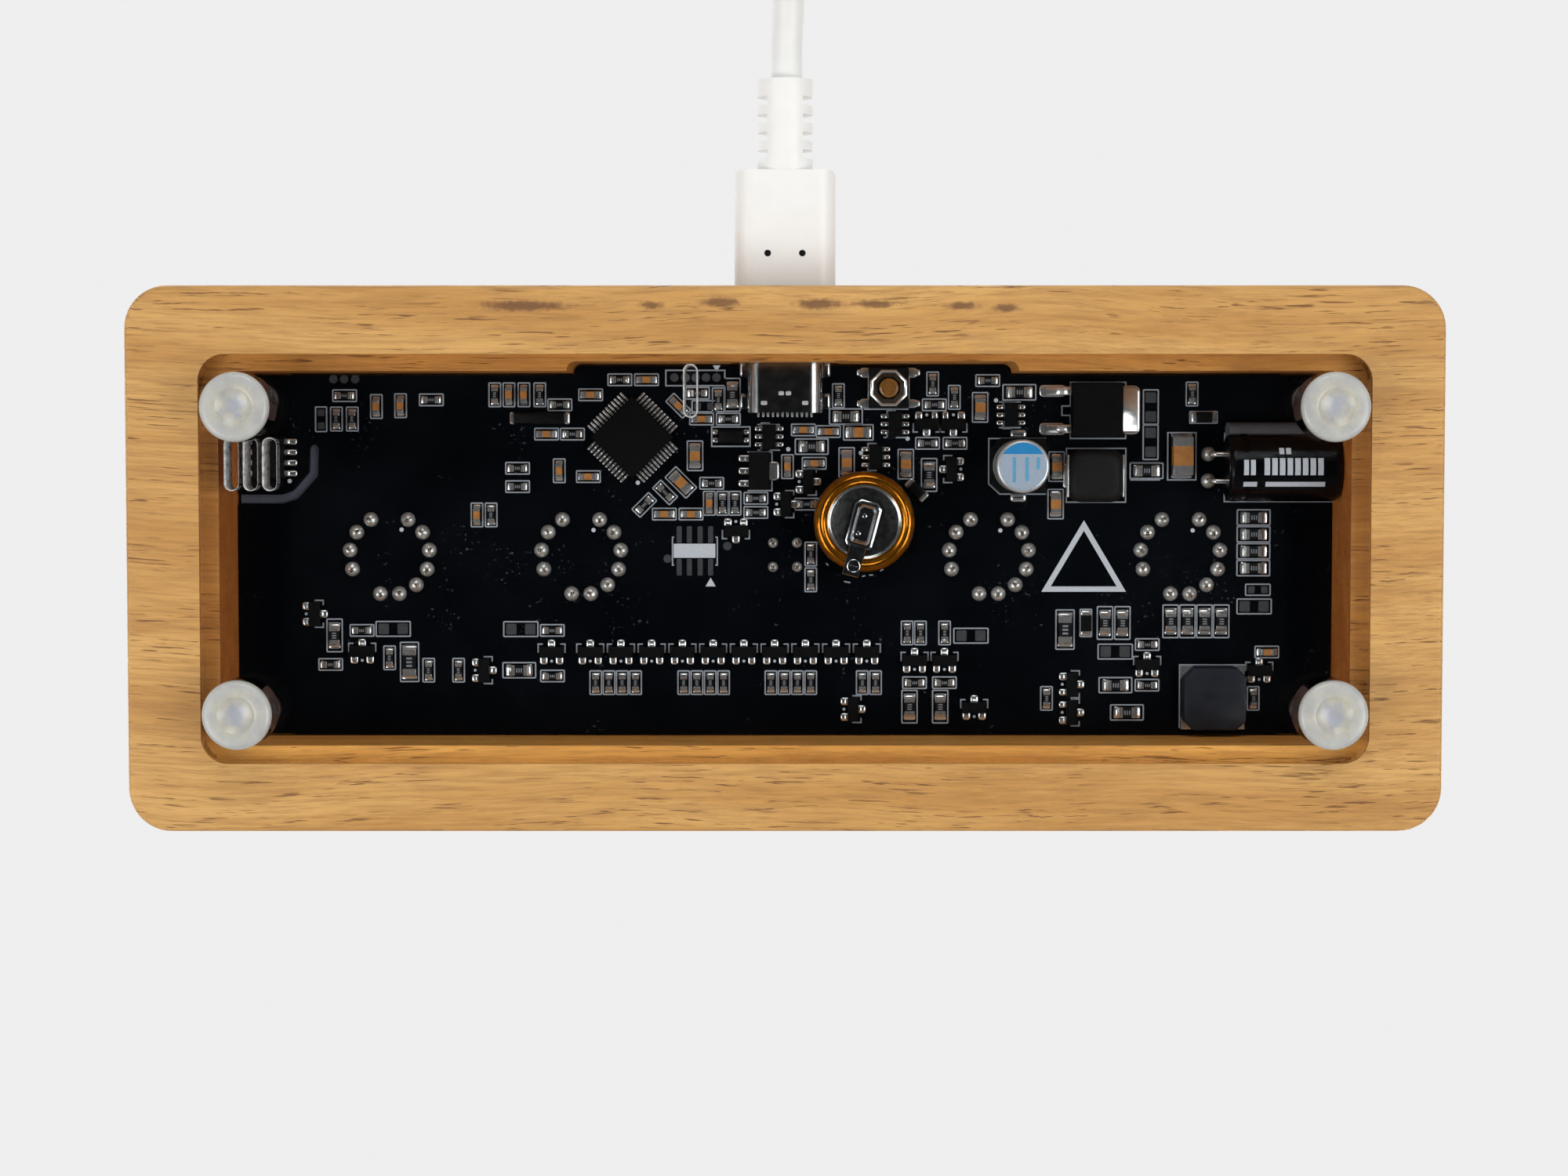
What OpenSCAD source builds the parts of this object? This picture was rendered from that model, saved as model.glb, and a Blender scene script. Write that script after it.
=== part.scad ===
// Nixie tube clock: a timber block with a clear base plate, a circuit board that carries four
// neon digit tubes and a two-lamp colon, a reset switch, and a USB lead that plugs in behind.
// Millimetres. +Z up, -Y is the front, +Y the rear; the origin is under the middle, on the table.

/* [Timber case] */
// Length of the case, left to right
case_w = 152.4; // [148:0.1:190]
// Depth of the case, front to rear
case_d = 63.2; // [62:0.1:80]
// Height of the timber, without the feet
case_h = 28; // [27:0.5:40]
// Radius of the upright corners
case_corner_r = 5; // [3:0.5:8]
// Softening of the long edges
case_edge_r = 0.6; // [0.3:0.1:1.5]
// Width of the ledge that the base plate sits on
ledge_w = 1.9; // [1.5:0.1:4]
// Thickness of the deck over the electronics
deck_t = 9; // [6:0.5:14]
// Radius of the routed inside corners
pocket_r = 2.7; // [2:0.1:4]

/* [Base plate and feet] */
// Thickness of the clear base plate
plate_t = 3; // [2:0.5:5]
// Gap between the plate and its recess, each side
plate_gap = 0.15; // [0.1:0.05:0.4]
// Width of a vent slot
vent_w = 1.7; // [1:0.1:2]
// Length of a vent slot
vent_l = 6.2; // [4:0.1:9]
// Spacing of the three vent slots over the sensor
vent_pitch = 2.2; // [2.1:0.1:3]
// Diameter of a foot
foot_d = 8; // [6:0.5:9]
// Height of a foot
foot_h = 6; // [3:0.5:10]
// From each end of the base plate to a foot's centre
foot_inset_x = 5; // [4.2:0.1:9]
// From the front and rear of the base plate to a foot's centre
foot_inset_y = 6; // [4.2:0.1:9]

/* [Circuit board] */
// Length of the board, left to right
board_w = 131.1; // [131.1:0.1:160]
// Depth of the board, without the stretch that steps out
board_d = 43.1; // [43.1:0.1:60]
// Thickness of the board
board_t = 1.6; // [1:0.1:2]
// Gap between the board and the cavity, each side
board_gap = 0.25; // [0.15:0.05:0.5]
// Headroom between the board and the deck
board_headroom = 2.4; // [2:0.1:5]
// Distance of a board screw from the board's corner, both ways
screw_inset = 3; // [2.6:0.1:4]
// Diameter of a board screw's thread
screw_d = 2; // [1.6:0.1:2.4]
// Depth that the rear of the board steps out by, for the sockets
step_out = 1.1; // [0.8:0.1:1.4]
// Width of the stretch that steps out
step_w = 52; // [44:1:60]

/* [Digit tubes] */
// Spacing of the two tubes in a pair
tube_pitch = 23; // [22:0.5:30]
// Distance of the inner tubes from the middle of the clock
tube_inner_x = 24.5; // [22:0.5:30]
// Diameter of a tube's glass
tube_d = 17.5; // [16.5:0.5:19]
// Height of a tube's glass, without its tip
tube_h = 50; // [48:1:60]
// Thickness of the glass
glass_t = 0.8; // [0.6:0.1:1.2]
// Diameter of a tube's hole in the deck
tube_hole_d = 19; // [18.5:0.5:21]
// Diameter of the ring that the tube's wires come down in
lead_ring_d = 9.6; // [8.5:0.1:10.5]
// Diameter of a wire
lead_d = 0.5; // [0.4:0.05:0.6]
// Height of a digit
digit_h = 18; // [14:0.5:20]
// Width of a digit
digit_w = 10; // [8:0.1:10.2]
// Width of the sheet that a digit is cut from
digit_stroke = 0.45; // [0.3:0.05:0.6]
// Thickness of a digit
digit_t = 0.25; // [0.15:0.05:0.35]
// Spacing of the ten digits, front to rear
digit_pitch = 0.95; // [0.8:0.05:1]

/* [Colon] */
// Diameter of a colon lamp
lamp_d = 5; // [4:0.1:5.2]
// Length of a colon lamp
lamp_l = 14; // [10:0.5:16]
// Height of the lower lamp above the deck
lamp_low = 0.5; // [0:0.5:4]
// Gap between the two lamps
lamp_apart = 4; // [2:0.5:8]
// Spacing of the lamps' wires, both ways
lamp_lead_pitch = 2.9; // [2.6:0.1:3.4]

/* [USB lead] */
// Width of the plug's grip
grip_w = 12; // [10.5:0.1:12.6]
// Thickness of the plug's grip
grip_t = 6.4; // [5.5:0.1:7]
// Length of the plug's grip
grip_l = 21; // [16:0.5:26]
// Length of the ribbed sleeve behind the grip
relief_l = 10.8; // [9:0.1:16]
// Diameter of the cable
cable_d = 3.7; // [3:0.1:3.7]

/* [Hidden] */
$fn = 48;

// Levels, from the table upwards
case_z = foot_h;
ledge_z = case_z + plate_t;
case_top_z = case_z + case_h;
deck_z = case_top_z - deck_t;
board_top_z = deck_z - board_headroom;
board_z = board_top_z - board_t;

// Plans: the cavity around the board, the base plate's recess under it and the plate.
// The case's walls take up what its outside leaves.
cavity_w = board_w + 2 * board_gap;
cavity_d = board_d + 2 * board_gap;
recess_w = cavity_w + 2 * ledge_w;
recess_d = cavity_d + 2 * ledge_w;
plate_w = recess_w - 2 * plate_gap;
plate_d = recess_d - 2 * plate_gap;
side_wall = (case_d - recess_d) / 2;
step_x = -0.9;
foot_x = plate_w / 2 - foot_inset_x;
foot_y = plate_d / 2 - foot_inset_y;
screw_x = board_w / 2 - screw_inset;
screw_y = board_d / 2 - screw_inset;
screw_bite = 2.5;
screw_head_t = 1.2;

// Board layout. The lists below give each part's centre on a board of layout_w by layout_d.
// A part near an edge keeps its distance from that edge when the board grows.
layout_w = 131.1;
layout_d = 43.1;
layout_core_x = 40;
layout_core_y = 14;
function from_edge(v, core, drawn, real) = abs(v) < core ? v : v + sign(v) * (real - drawn) / 2;
function seat(p) = [from_edge(p[0], layout_core_x, layout_w, board_w),
                    from_edge(p[1], layout_core_y, layout_d, board_d)];

// Chips: [x, y, turn] in millimetres and degrees; a turn of 0 lies along X
size_0603 = [1.6, 0.8];
size_0805 = [2.0, 1.25];
size_1206 = [3.2, 1.6];
resistor_t = 0.5;
capacitor_t = 0.9;
driver_x = 23.45;
driver_pitch = 3.7;
driver_count = 10;
driver_y = -11.7;
bias_y = -15.4;
bias_pitch = 1.6;
bias_groups = [[22.8, 4], [12.2, 4], [1.7, 4], [-9.3, 2]];
resistors_0603 = [
    [27, 18, 0],
    [52.8, 19.1, 0], [42.4, 18.6, 0], [25.5, 14.5, 0], [19.8, 21, 0], [32.1, 10.4, 0],
    [32.1, 8.2, 0], [10.5, 19.4, 0], [6.8, 16.3, 0], [8.8, 8.6, 0], [3.5, 6.8, 0],
    [3.5, 5.1, 0], [-17.9, 18, 0], [-17.1, 13.4, 0], [-20.4, 13.4, 0], [-2.6, 6.1, 0],
    [-24.3, 20.9, 0], [-43.6, -10.8, 0], [-43.6, -15.7, 0], [28, -9.1, 0], [28, -14.6, 0],
    [50.9, -9.1, 0], [54.7, -13.2, 0], [-15.6, -15.4, 0], [-19.2, -15.4, 0],
    [53.8, 16.3, 90], [51.9, 16.3, 90], [34.8, 19.2, 90], [29.4, 19.2, 90], [35.3, 4.8, 90],
    [8, 18.6, 90], [7.5, 6.2, 90], [6, 6.2, 90], [-3.1, 0.1, 90], [-3.1, -3, 90],
    [-6.4, 19.1, 90], [-17.7, 20.5, 90], [-20.3, 18.9, 90], [-48.8, 19.3, 90],
    [-56.4, -17.3, 90], [-31.5, -17.3, 90], [47.6, -12.4, 90], [42.9, -13.9, 90],
    [39.3, -13.9, 90], [-14.7, -9.4, 90], [-16.3, -9.4, 90], [-19.2, -9.4, 90],
    [14.4, 7.5, 45], [16.9, 6, -45]
];
capacitors_0603 = [
    [28.6, 14.5, 0], [23.3, 19.2, 0], [16.6, 21, 0], [23.6, 9.4, 0], [10, 16.3, 0],
    [-3.5, 11, 0], [14.5, 4.9, 0], [11.3, 4.9, 0], [-2.2, 15, 0], [-5.2, 14.8, 0],
    [-58, -11.7, 0], [49, 17.8, 90], [46.1, 17.9, 90], [33.1, 19.2, 90], [31.3, 19.2, 90],
    [27.1, 10.1, 90], [37, 4.8, 90], [-0.3, 10.6, 90], [9.1, 6.2, 90], [12.8, 17.9, 45]
];
resistors_0805 = [
    [6.3, 19.2, 90], [-7.3, 16.6, 0], [-3.2, 13, 0], [-43.4, 10.1, 0], [-28.1, 19.5, 0],
    [-39.8, -15.7, 0], [-41.2, -19, 0], [32, -13.9, 0], [-38.5, -8.2, 90], [-40.6, -8.2, 90],
    [54.2, -9.7, 90], [-15, -18.3, 90], [-18.7, -18.3, 90], [-17.3, 9.6, 90]
];
capacitors_0805 = [
    [10.8, 11.9, 90], [-7.4, 11.1, 90], [-14.5, 10.9, 90], [-23.4, 17.7, 90],
    [-8.8, 14.7, 0], [-32.5, 6.1, 90], [-32.6, 10.6, 90], [12.5, 8.7, 45]
];
divider_x = -56.3;
divider_y = 4.5;
divider_count = 4;
bleed_x = -46.4;
bleed_y = -8;
bleed_count = 4;
chip_row_pitch = 2.03;
resistors_1206 = [[-33.7, -9, 90], [45.2, -12.9, 90]];
bulk_capacitor = [-47.6, 11.9];

// Three-legged chips: a turn of 0 has the single leg to the rear
trios = [
    [28.1, -11.7, 0],
    [50.9, -11.6, 0], [-15.6, -12.7, 0], [-19.2, -12.7, 0], [-22.8, -18.4, 0],
    [-43.6, -13.2, 0], [-57.1, -13.9, 0], [5.9, 2.9, 180], [-17, 15.7, 180],
    [-20.2, 15.7, 180], [-0.1, 6.1, 90], [-2.8, 8.8, 90], [36.2, -13.9, 90],
    [-8.2, -18.6, 90], [-34.5, -15.6, 90], [-34.5, -19, 90], [56.5, -7.1, 90],
    [-20, 10.3, -90]
];
sixes = [[1.9, 14.2, 0], [-13.2, 15.7, 0], [-10.9, 11.75, 0], [-27.1, 16.8, 0]];
regulator = [3.1, 10.1];
sensor = [61.9, 11.7];
controller = [18.3, 14.1];
slim_crystal = [29.4, 16.4];
oscillator = [6.5, 14.2];
small_diodes = [[-50.2, 16.5, 0], [-36.2, -8.2, 90], [-15.8, 7.8, 45]];
header_x = 13.3;
header_y = 21.2;
header_pitch = 1.27;
header_holes = 5;

// Larger parts
inductor = [-37.1, 9.5];
transistor = [-37.3, 17.4];
buzzer_at = [-51.5, -17.2];
memory_cell = [-9.4, 4.1];
memory_cell_turn = -75;
filter_capacitor = [-28, 10.7];
hv_capacitor = [-52.3, 10.5];
hv_can_d = 8;
hv_can_l = 13.3;
hv_lead_pitch = 3.2;
hv_lead_run = 1.5;
reset_switch = [-12.4, 20];
reset_button_d = 2.3;
reset_play = 0.15;

// Tubes
tube_xs = [-tube_inner_x - tube_pitch, -tube_inner_x, tube_inner_x, tube_inner_x + tube_pitch];
tube_places = 13;
tube_first_angle = 7;
tube_empty_places = [3, 11];
tube_angles = [for (i = [0 : tube_places - 1])
    if (len(search(i, tube_empty_places)) == 0) tube_first_angle + i * 360 / tube_places];
spacer_t = 1.5;
tube_z = board_top_z + spacer_t;
tube_r = tube_d / 2;
bore_r = tube_r - glass_t;
glass_floor = 1.6;
wire_clear = 0.01;
solder_h = 0.9;
lead_end_z = board_z - solder_h + 0.1;
// The digit stack: ten digits on two rods between two ceramic discs
ear_r = 0.9;
rod_r = 0.45;
rod_clear = 0.02;
ear_rise = 1.3;
disc_t = 0.5;
disc_gap = 0.4;
stack_half = digit_h / 2 + ear_rise + ear_r + disc_gap;
stack_z = tube_z + tube_h * 0.52;
disc_r = bore_r - 0.25;
anode_t = 0.25;
anode_half_y = 4.5 * digit_pitch + digit_t / 2 + 0.55;
anode_half_x = digit_w / 2 + 0.75;
// Front to rear, as the digits are stacked
digit_order = [1, 6, 2, 7, 5, 0, 4, 9, 8, 3];

// Colon
colon_hole_d = 9;
lamp_wire_x = lamp_lead_pitch / 2;
lamp_low_z = case_top_z + lamp_low;
lamp_high_z = lamp_low_z + lamp_l + lamp_apart;

// USB socket and plug, on one axis under the board
socket_w = 8.94;
socket_h = 3.2;
socket_l = 7.3;
socket_wall = 0.3;
socket_front_y = board_d / 2 + step_out + 1.7;
usb_z = board_z - socket_h / 2;
tongue_w = 6.7;
tongue_t = 0.7;
tongue_l = 5.6;
tongue_block = 0.5;
plug_w = 8.25;
plug_h = 2.4;
plug_slot = [6.9, 0.9, 6];
plug_l = 6.65;
plug_gap = 0.4;
grip_y = socket_front_y + plug_gap;
relief_y = grip_y + grip_l;
cable_y = relief_y + relief_l;
relief_w = 6.6;
relief_notches = 4;
relief_notch_w = 1;
rear_hole_gap = 0.55;

// The cable's route behind the clock, then a two-layer coil, then the charger plug
cable_r = cable_d / 2;
coil_x = 27.5;
coil_y = 104;
coil_inner_r = 13.3;
coil_outer_r = 30.2;
coil_h = 7.5;
route_in = [
    [-0.2, 0, 19.4], [-0.2, 4, 19.4], [-0.4, 8, 19], [-0.5, 12, 17.9], [-0.6, 16, 15.6],
    [-0.6, 19, 13.3], [-0.7, 22, 10.9], [-0.7, 26, 8.3], [-0.8, 30, 6.5], [-0.8, 34, 5.8],
    [-0.8, 40, 5.6], [-0.8, 46, 5.6]
];
route_out = [
    [27.5, 77.5, 1.9], [18, 77.5, 1.9], [10, 77.5, 2.2], [3, 77.5, 3.3], [-2, 77.5, 3.9], [-6, 77.5, 3.9]
];
tie_w = 8;
tie_t = 0.45;
charger_z = 3.9;
charger_x = -6;
charger_relief_l = 9;
charger_grip = [24, 15.4, 7.6];
charger_shell = [12, 12, 4.5];

// ---------- Plain shapes ----------
// A rectangle with round corners, about its centre
module round_rect(w, d, r) {
    square([w - 2 * r, d], center = true);
    square([w, d - 2 * r], center = true);
    for (sx = [-1, 1], sy = [-1, 1])
        translate([sx * (w / 2 - r), sy * (d / 2 - r)]) circle(r);
}

// A slot with round ends, long along Y
module slot(w, l) round_rect(w, l, w / 2 - 0.001);

// A channel of width w between two points
module channel(p, q, w) {
    run = q - p;
    translate(p) rotate(atan2(run[1], run[0])) {
        translate([0, -w / 2]) square([norm(run), w]);
        circle(w / 2);
    }
    translate(q) circle(w / 2);
}

// A block with round upright corners of radius r and softened long edges of radius e
module soft_block(w, d, h, r, e) {
    module end_view(l) translate([-l / 2, 0]) soft_profile(l, h, e);
    translate([-w / 2 + r, 0, 0]) rotate([90, 0, 90]) linear_extrude(w - 2 * r) end_view(d);
    translate([0, d / 2 - r, 0]) rotate([90, 0, 0]) linear_extrude(d - 2 * r) end_view(w);
    for (k = [0 : 3])
        translate([(k == 0 || k == 3 ? 1 : -1) * (w / 2 - r), (k < 2 ? 1 : -1) * (d / 2 - r), 0])
            rotate(90 * k) rotate_extrude(angle = 90) intersection() {
                translate([-r, 0]) soft_profile(2 * r, h, e);
                square([r, h]);
            }
}

// A rectangle standing on the axis from 0 to l and 0 to h, its four corners rounded by e
module soft_profile(l, h, e) translate([l / 2, h / 2]) round_rect(l, h, e);

// Places its children on the underside of the board, with their +Z pointing down
module under(p, turn = 0) {
    s = seat(p);
    translate([s[0], s[1], board_z]) rotate(turn) mirror([0, 0, 1]) children();
}

// A block that stands on the board, about its own centre
module chip(size, t, base = 0) translate([-size[0] / 2, -size[1] / 2, base]) cube([size[0], size[1], t]);

// A bent leg from a chip's side at height rise down to the board, reaching out along X
module leg(reach, rise, w, t = 0.15) {
    knee = 0.4 * reach;
    rotate([90, 0, 0]) linear_extrude(w, center = true) polygon([
        [0, rise], [knee, rise], [knee + t, t], [reach, t], [reach, 0], [knee, 0],
        [knee - t, rise - t], [0, rise - t]
    ]);
}

// A row of n legs along Y, starting at the chip's side x
module leg_row(n, pitch, x, reach, rise, w)
    for (i = [0 : n - 1]) translate([x, (i - (n - 1) / 2) * pitch, 0]) leg(reach, rise, w);

// ---------- Case, plate, feet and board ----------
module cavity_plan(gap) {
    round_rect(cavity_w - 2 * gap, cavity_d - 2 * gap, pocket_r - gap);
    translate([step_x, (cavity_d / 2 - gap) / 2 + step_out / 2])
        round_rect(step_w + 2 * (board_gap - gap), cavity_d / 2 - gap + step_out, 1);
}

module corner_posts() {
    post = screw_inset + board_gap + 3;
    for (sx = [-1, 1], sy = [-1, 1])
        translate([sx * (cavity_w - post) / 2, sy * (cavity_d - post) / 2, board_top_z])
            linear_extrude(board_headroom + 1) square(post, center = true);
}

module wooden_case() color([0.80, 0.62, 0.38]) {
    difference() {
        translate([0, 0, case_z]) soft_block(case_w, case_d, case_h, case_corner_r, case_edge_r);
        translate([0, 0, case_z - 1]) linear_extrude(plate_t + 1)
            round_rect(recess_w, recess_d, pocket_r + ledge_w - 1.5);
        difference() {
            translate([0, 0, ledge_z - 1]) linear_extrude(deck_z - ledge_z + 1) cavity_plan(0);
            corner_posts();
        }
        for (x = tube_xs) translate([x, 0, deck_z - 1]) cylinder(h = deck_t + 2, d = tube_hole_d);
        translate([0, 0, deck_z - 1]) cylinder(h = deck_t + 2, d = colon_hole_d);
        for (sx = [-1, 1], sy = [-1, 1]) translate([sx * screw_x, sy * screw_y, board_top_z - 1])
            cylinder(h = board_headroom + screw_bite + 2, d = screw_d + 0.04);
        translate([0, case_d / 2 + 1, usb_z]) rotate([90, 0, 0])
            linear_extrude(side_wall + ledge_w + 1)
                round_rect(grip_w + 2 * rear_hole_gap, grip_t + 2 * rear_hole_gap, 2.6);
    }
}

// The vent slots stand over the sensor, and one more beside the programming pads
module base_plate() color([0.90, 0.93, 0.95, 0.35])
    translate([0, 0, case_z]) linear_extrude(plate_t) difference() {
        round_rect(plate_w, plate_d, pocket_r + ledge_w - 1.5 - plate_gap);
        for (i = [-1 : 1])
            translate(seat(sensor) + [i * vent_pitch - 0.2, -0.7]) slot(vent_w, vent_l);
        translate([10.9, plate_d / 2 - 4.1]) slot(vent_w, vent_l);
    }

module foot() {
    rim = 1;
    rotate_extrude() difference() {
        union() {
            translate([0, rim]) square([foot_d / 2, foot_h - rim]);
            square([foot_d / 2 - rim, rim + 0.01]);
            translate([foot_d / 2 - rim, rim]) circle(rim);
        }
        translate([-foot_d, 0]) square([foot_d, foot_h]);
        translate([0, -0.01]) square([foot_d * 0.26, 0.36]);
    }
}

module feet() color([0.85, 0.86, 0.86, 0.8])
    for (sx = [-1, 1], sy = [-1, 1]) translate([sx * foot_x, sy * foot_y, 0]) foot();

// The milled slot that keeps the board's warmth away from the sensor
module thermal_slot() {
    route = [[66.4, 6.7], [60.3, 6.7], [58.8, 7.2], [56.6, 9.7], [56.5, 12.7]];
    for (i = [0 : len(route) - 2]) channel(seat(route[i]), seat(route[i + 1]), 1.1);
}

module circuit_board() color([0.03, 0.04, 0.06])
    translate([0, 0, board_z]) difference() {
        linear_extrude(board_t) difference() {
            cavity_plan(board_gap);
            thermal_slot();
        }
        for (x = tube_xs, a = tube_angles) translate([x, 0, -1]) rotate(a)
            translate([lead_ring_d / 2, 0, 0]) cylinder(h = board_t + 2, d = lead_d + 0.4, $fn = 24);
        for (sx = [-1, 1], sy = [-1, 1]) {
            translate([sx * lamp_wire_x, sy * lamp_wire_x, -1])
                cylinder(h = board_t + 2, d = lead_d + 0.4, $fn = 24);
            translate([sx * screw_x, sy * screw_y, -1]) cylinder(h = board_t + 2, d = screw_d + 0.2);
        }
        for (s = [-1, 1]) translate(concat(hv_hole(s), -1)) cylinder(h = board_t + 2, d = 1, $fn = 24);
        for (i = [0 : header_holes - 1])
            translate(concat(seat([header_x - i * header_pitch, header_y]), -1))
                cylinder(h = board_t + 2, d = 0.65, $fn = 24);
    }

module board_screws() color([0.75, 0.76, 0.78])
    for (sx = [-1, 1], sy = [-1, 1]) translate([sx * screw_x, sy * screw_y, 0]) {
        translate([0, 0, board_z]) cylinder(h = board_t + board_headroom + screw_bite, d = screw_d);
        translate([0, 0, board_z - screw_head_t]) difference() {
            cylinder(h = screw_head_t, d = 1.9 * screw_d);
            translate([0, 0, -0.01]) cylinder(h = 0.6 * screw_head_t, d = screw_d * 0.7, $fn = 6);
        }
    }

// ---------- USB socket ----------
module along_usb(y) translate([0, y, usb_z]) rotate([-90, 0, 0]) children();

module stadium(w, h) round_rect(w, h, h / 2 - 0.001);

module usb_socket_shell() color([0.78, 0.79, 0.80]) {
    along_usb(socket_front_y - socket_l) difference() {
        linear_extrude(socket_l) stadium(socket_w, socket_h);
        translate([0, 0, socket_wall])
            linear_extrude(socket_l) stadium(socket_w - 2 * socket_wall, socket_h - 2 * socket_wall);
    }
    for (s = [-1, 1], y = [2.2, 5.9])
        translate([s * (socket_w / 2 + 0.25), socket_front_y - socket_l + y - 1, board_z - 0.6])
            translate([-0.45, -0.7, 0]) cube([0.9, 1.4, 0.6]);
}

module usb_socket_tongue() color([0.08, 0.08, 0.09])
    along_usb(socket_front_y - socket_l + socket_wall) {
        linear_extrude(tongue_block)
            stadium(socket_w - 2 * socket_wall - 0.04, socket_h - 2 * socket_wall - 0.04);
        linear_extrude(tongue_block + tongue_l) square([tongue_w, tongue_t], center = true);
    }

// ---------- Reset switch ----------
switch_w = 4.8;
switch_t = 1.2;
cover_t = 0.25;
button_proud = 0.6;

module reset_switch_base() color([0.06, 0.06, 0.06]) under(reset_switch) difference() {
    chip([switch_w, switch_w], switch_t);
    translate([0, 0, switch_t - 0.6]) cylinder(h = 1, d = reset_button_d + 2 * reset_play);
}

module reset_switch_cover() color([0.72, 0.72, 0.72]) under(reset_switch)
    translate([0, 0, switch_t]) difference() {
        cylinder(h = cover_t, r = switch_w / 2 / cos(22.5) - 0.1, $fn = 8);
        translate([0, 0, -1]) cylinder(h = 2, d = reset_button_d + 2 * reset_play);
    }

module reset_button() color([0.72, 0.50, 0.22]) under(reset_switch)
    translate([0, 0, switch_t - 0.3])
        cylinder(h = 0.3 + cover_t + button_proud, d = reset_button_d);

// ---------- Microcontroller ----------
controller_w = 7;
controller_t = 1.4;

module microcontroller() color([0.07, 0.07, 0.08]) under(controller, 45) {
    lift = 0.1;
    chip([controller_w, controller_w], (controller_t - lift) / 2, lift);
    translate([0, 0, (controller_t + lift) / 2])
        chip([controller_w - 0.2, controller_w - 0.2], (controller_t - lift) / 2);
}

module microcontroller_leads() color([0.80, 0.80, 0.78]) under(controller, 45)
    for (side = [0 : 3]) rotate(90 * side) leg_row(12, 0.5, controller_w / 2, 1, 0.7, 0.22);

// ---------- Memory back-up cell ----------
cell_r = 5.6;
cell_sleeve_r = 6;
cell_lift = 0.4;
cell_h = 5.1;
cell_lip = 0.2;

module memory_cell_can() color([0.70, 0.70, 0.70]) under(memory_cell) translate([0, 0, cell_lift])
    rotate_extrude() difference() {
        translate([-cell_r, 0]) soft_profile(2 * cell_r, cell_h, 0.5);
        translate([-2 * cell_r, 0]) square([2 * cell_r, cell_h]);
    }

module memory_cell_sleeve() color([0.80, 0.42, 0.08]) under(memory_cell) rotate_extrude() {
    translate([cell_r, 0]) square([cell_sleeve_r - cell_r, cell_lift + cell_h]);
    translate([cell_r - 1.2, cell_lift + cell_h]) square([cell_sleeve_r - cell_r + 1.2, cell_lip]);
    translate([cell_r - 1.2, 0]) square([1.3, cell_lift]);
}

module memory_cell_tab() color([0.82, 0.82, 0.82]) under(memory_cell, memory_cell_turn) {
    top = cell_lift + cell_h + cell_lip;
    tab_t = 0.15;
    leg_w = 1.9;
    reach = cell_sleeve_r + 0.5;
    translate([0, 0, top]) linear_extrude(tab_t) {
        translate([-2.4, -1.6]) square([5.6, 3.2]);
        translate([0, -leg_w / 2]) square([reach, leg_w]);
    }
    translate([reach - tab_t, -leg_w / 2, 0]) cube([tab_t, leg_w, top + tab_t]);
    translate([-1.2, 0, top - cell_lip]) cylinder(h = cell_lip, r = 0.8);
}

// ---------- Larger parts ----------
filter_can_d = 6.3;
filter_base_w = 6.6;
filter_h = 7.7;
filter_base_t = 1.3;

module filter_capacitor_base() color([0.06, 0.06, 0.06]) under(filter_capacitor)
    linear_extrude(filter_base_t) difference() {
        square(filter_base_w, center = true);
        for (s = [-1, 1]) translate([filter_base_w / 2, s * filter_base_w / 2]) rotate(45)
            square(1.6, center = true);
    }

module filter_capacitor_can() color([0.78, 0.79, 0.80]) under(filter_capacitor)
    translate([0, 0, filter_base_t]) rotate_extrude() {
        r = filter_can_d / 2;
        waist = 0.25;
        square([r - waist, filter_h - filter_base_t - 0.4]);
        square([r, 0.6]);
        translate([0, 1.2]) square([r, filter_h - filter_base_t - 1.6]);
        square([r - 0.4, filter_h - filter_base_t]);
        translate([r - 0.4, filter_h - filter_base_t - 0.4]) circle(0.4);
    }

function hv_hole(s) = seat([hv_capacitor[0] + hv_lead_run, hv_capacitor[1] + s * hv_lead_pitch / 2]);
hv_axis_z = board_z - hv_can_d / 2 - 0.1;

module along_hv() translate(concat(seat(hv_capacitor), hv_axis_z)) rotate([0, -90, 0]) children();

module high_voltage_capacitor() color([0.05, 0.05, 0.06]) along_hv() rotate_extrude() {
    r = hv_can_d / 2;
    e = 0.7;
    intersection() {
        union() {
            translate([0, e]) square([r, hv_can_l - 2 * e]);
            square([r - e, hv_can_l]);
            for (h = [e, hv_can_l - e]) translate([r - e, h]) circle(e);
        }
        union() {
            square([r - 0.3, hv_can_l]);
            square([r, 1.6]);
            translate([0, 2.4]) square([r, hv_can_l]);
        }
    }
}

module high_voltage_capacitor_leads() color([0.80, 0.80, 0.78]) for (s = [-1, 1]) {
    wire_r = 0.3;
    elbow_r = 0.6;
    place = hv_hole(s);
    run_x = seat(hv_capacitor)[0];
    translate([run_x, place[1], hv_axis_z]) rotate([0, 90, 0])
        cylinder(h = hv_lead_run - elbow_r, r = wire_r, $fn = 24);
    translate([place[0] - elbow_r, place[1], hv_axis_z + elbow_r]) rotate([90, 0, 0])
        rotate(-90) rotate_extrude(angle = 90, $fn = 24) translate([elbow_r, 0]) circle(wire_r);
    translate([place[0], place[1], hv_axis_z + elbow_r])
        cylinder(h = board_top_z - hv_axis_z - elbow_r + 0.4, r = wire_r, $fn = 24);
}

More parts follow.
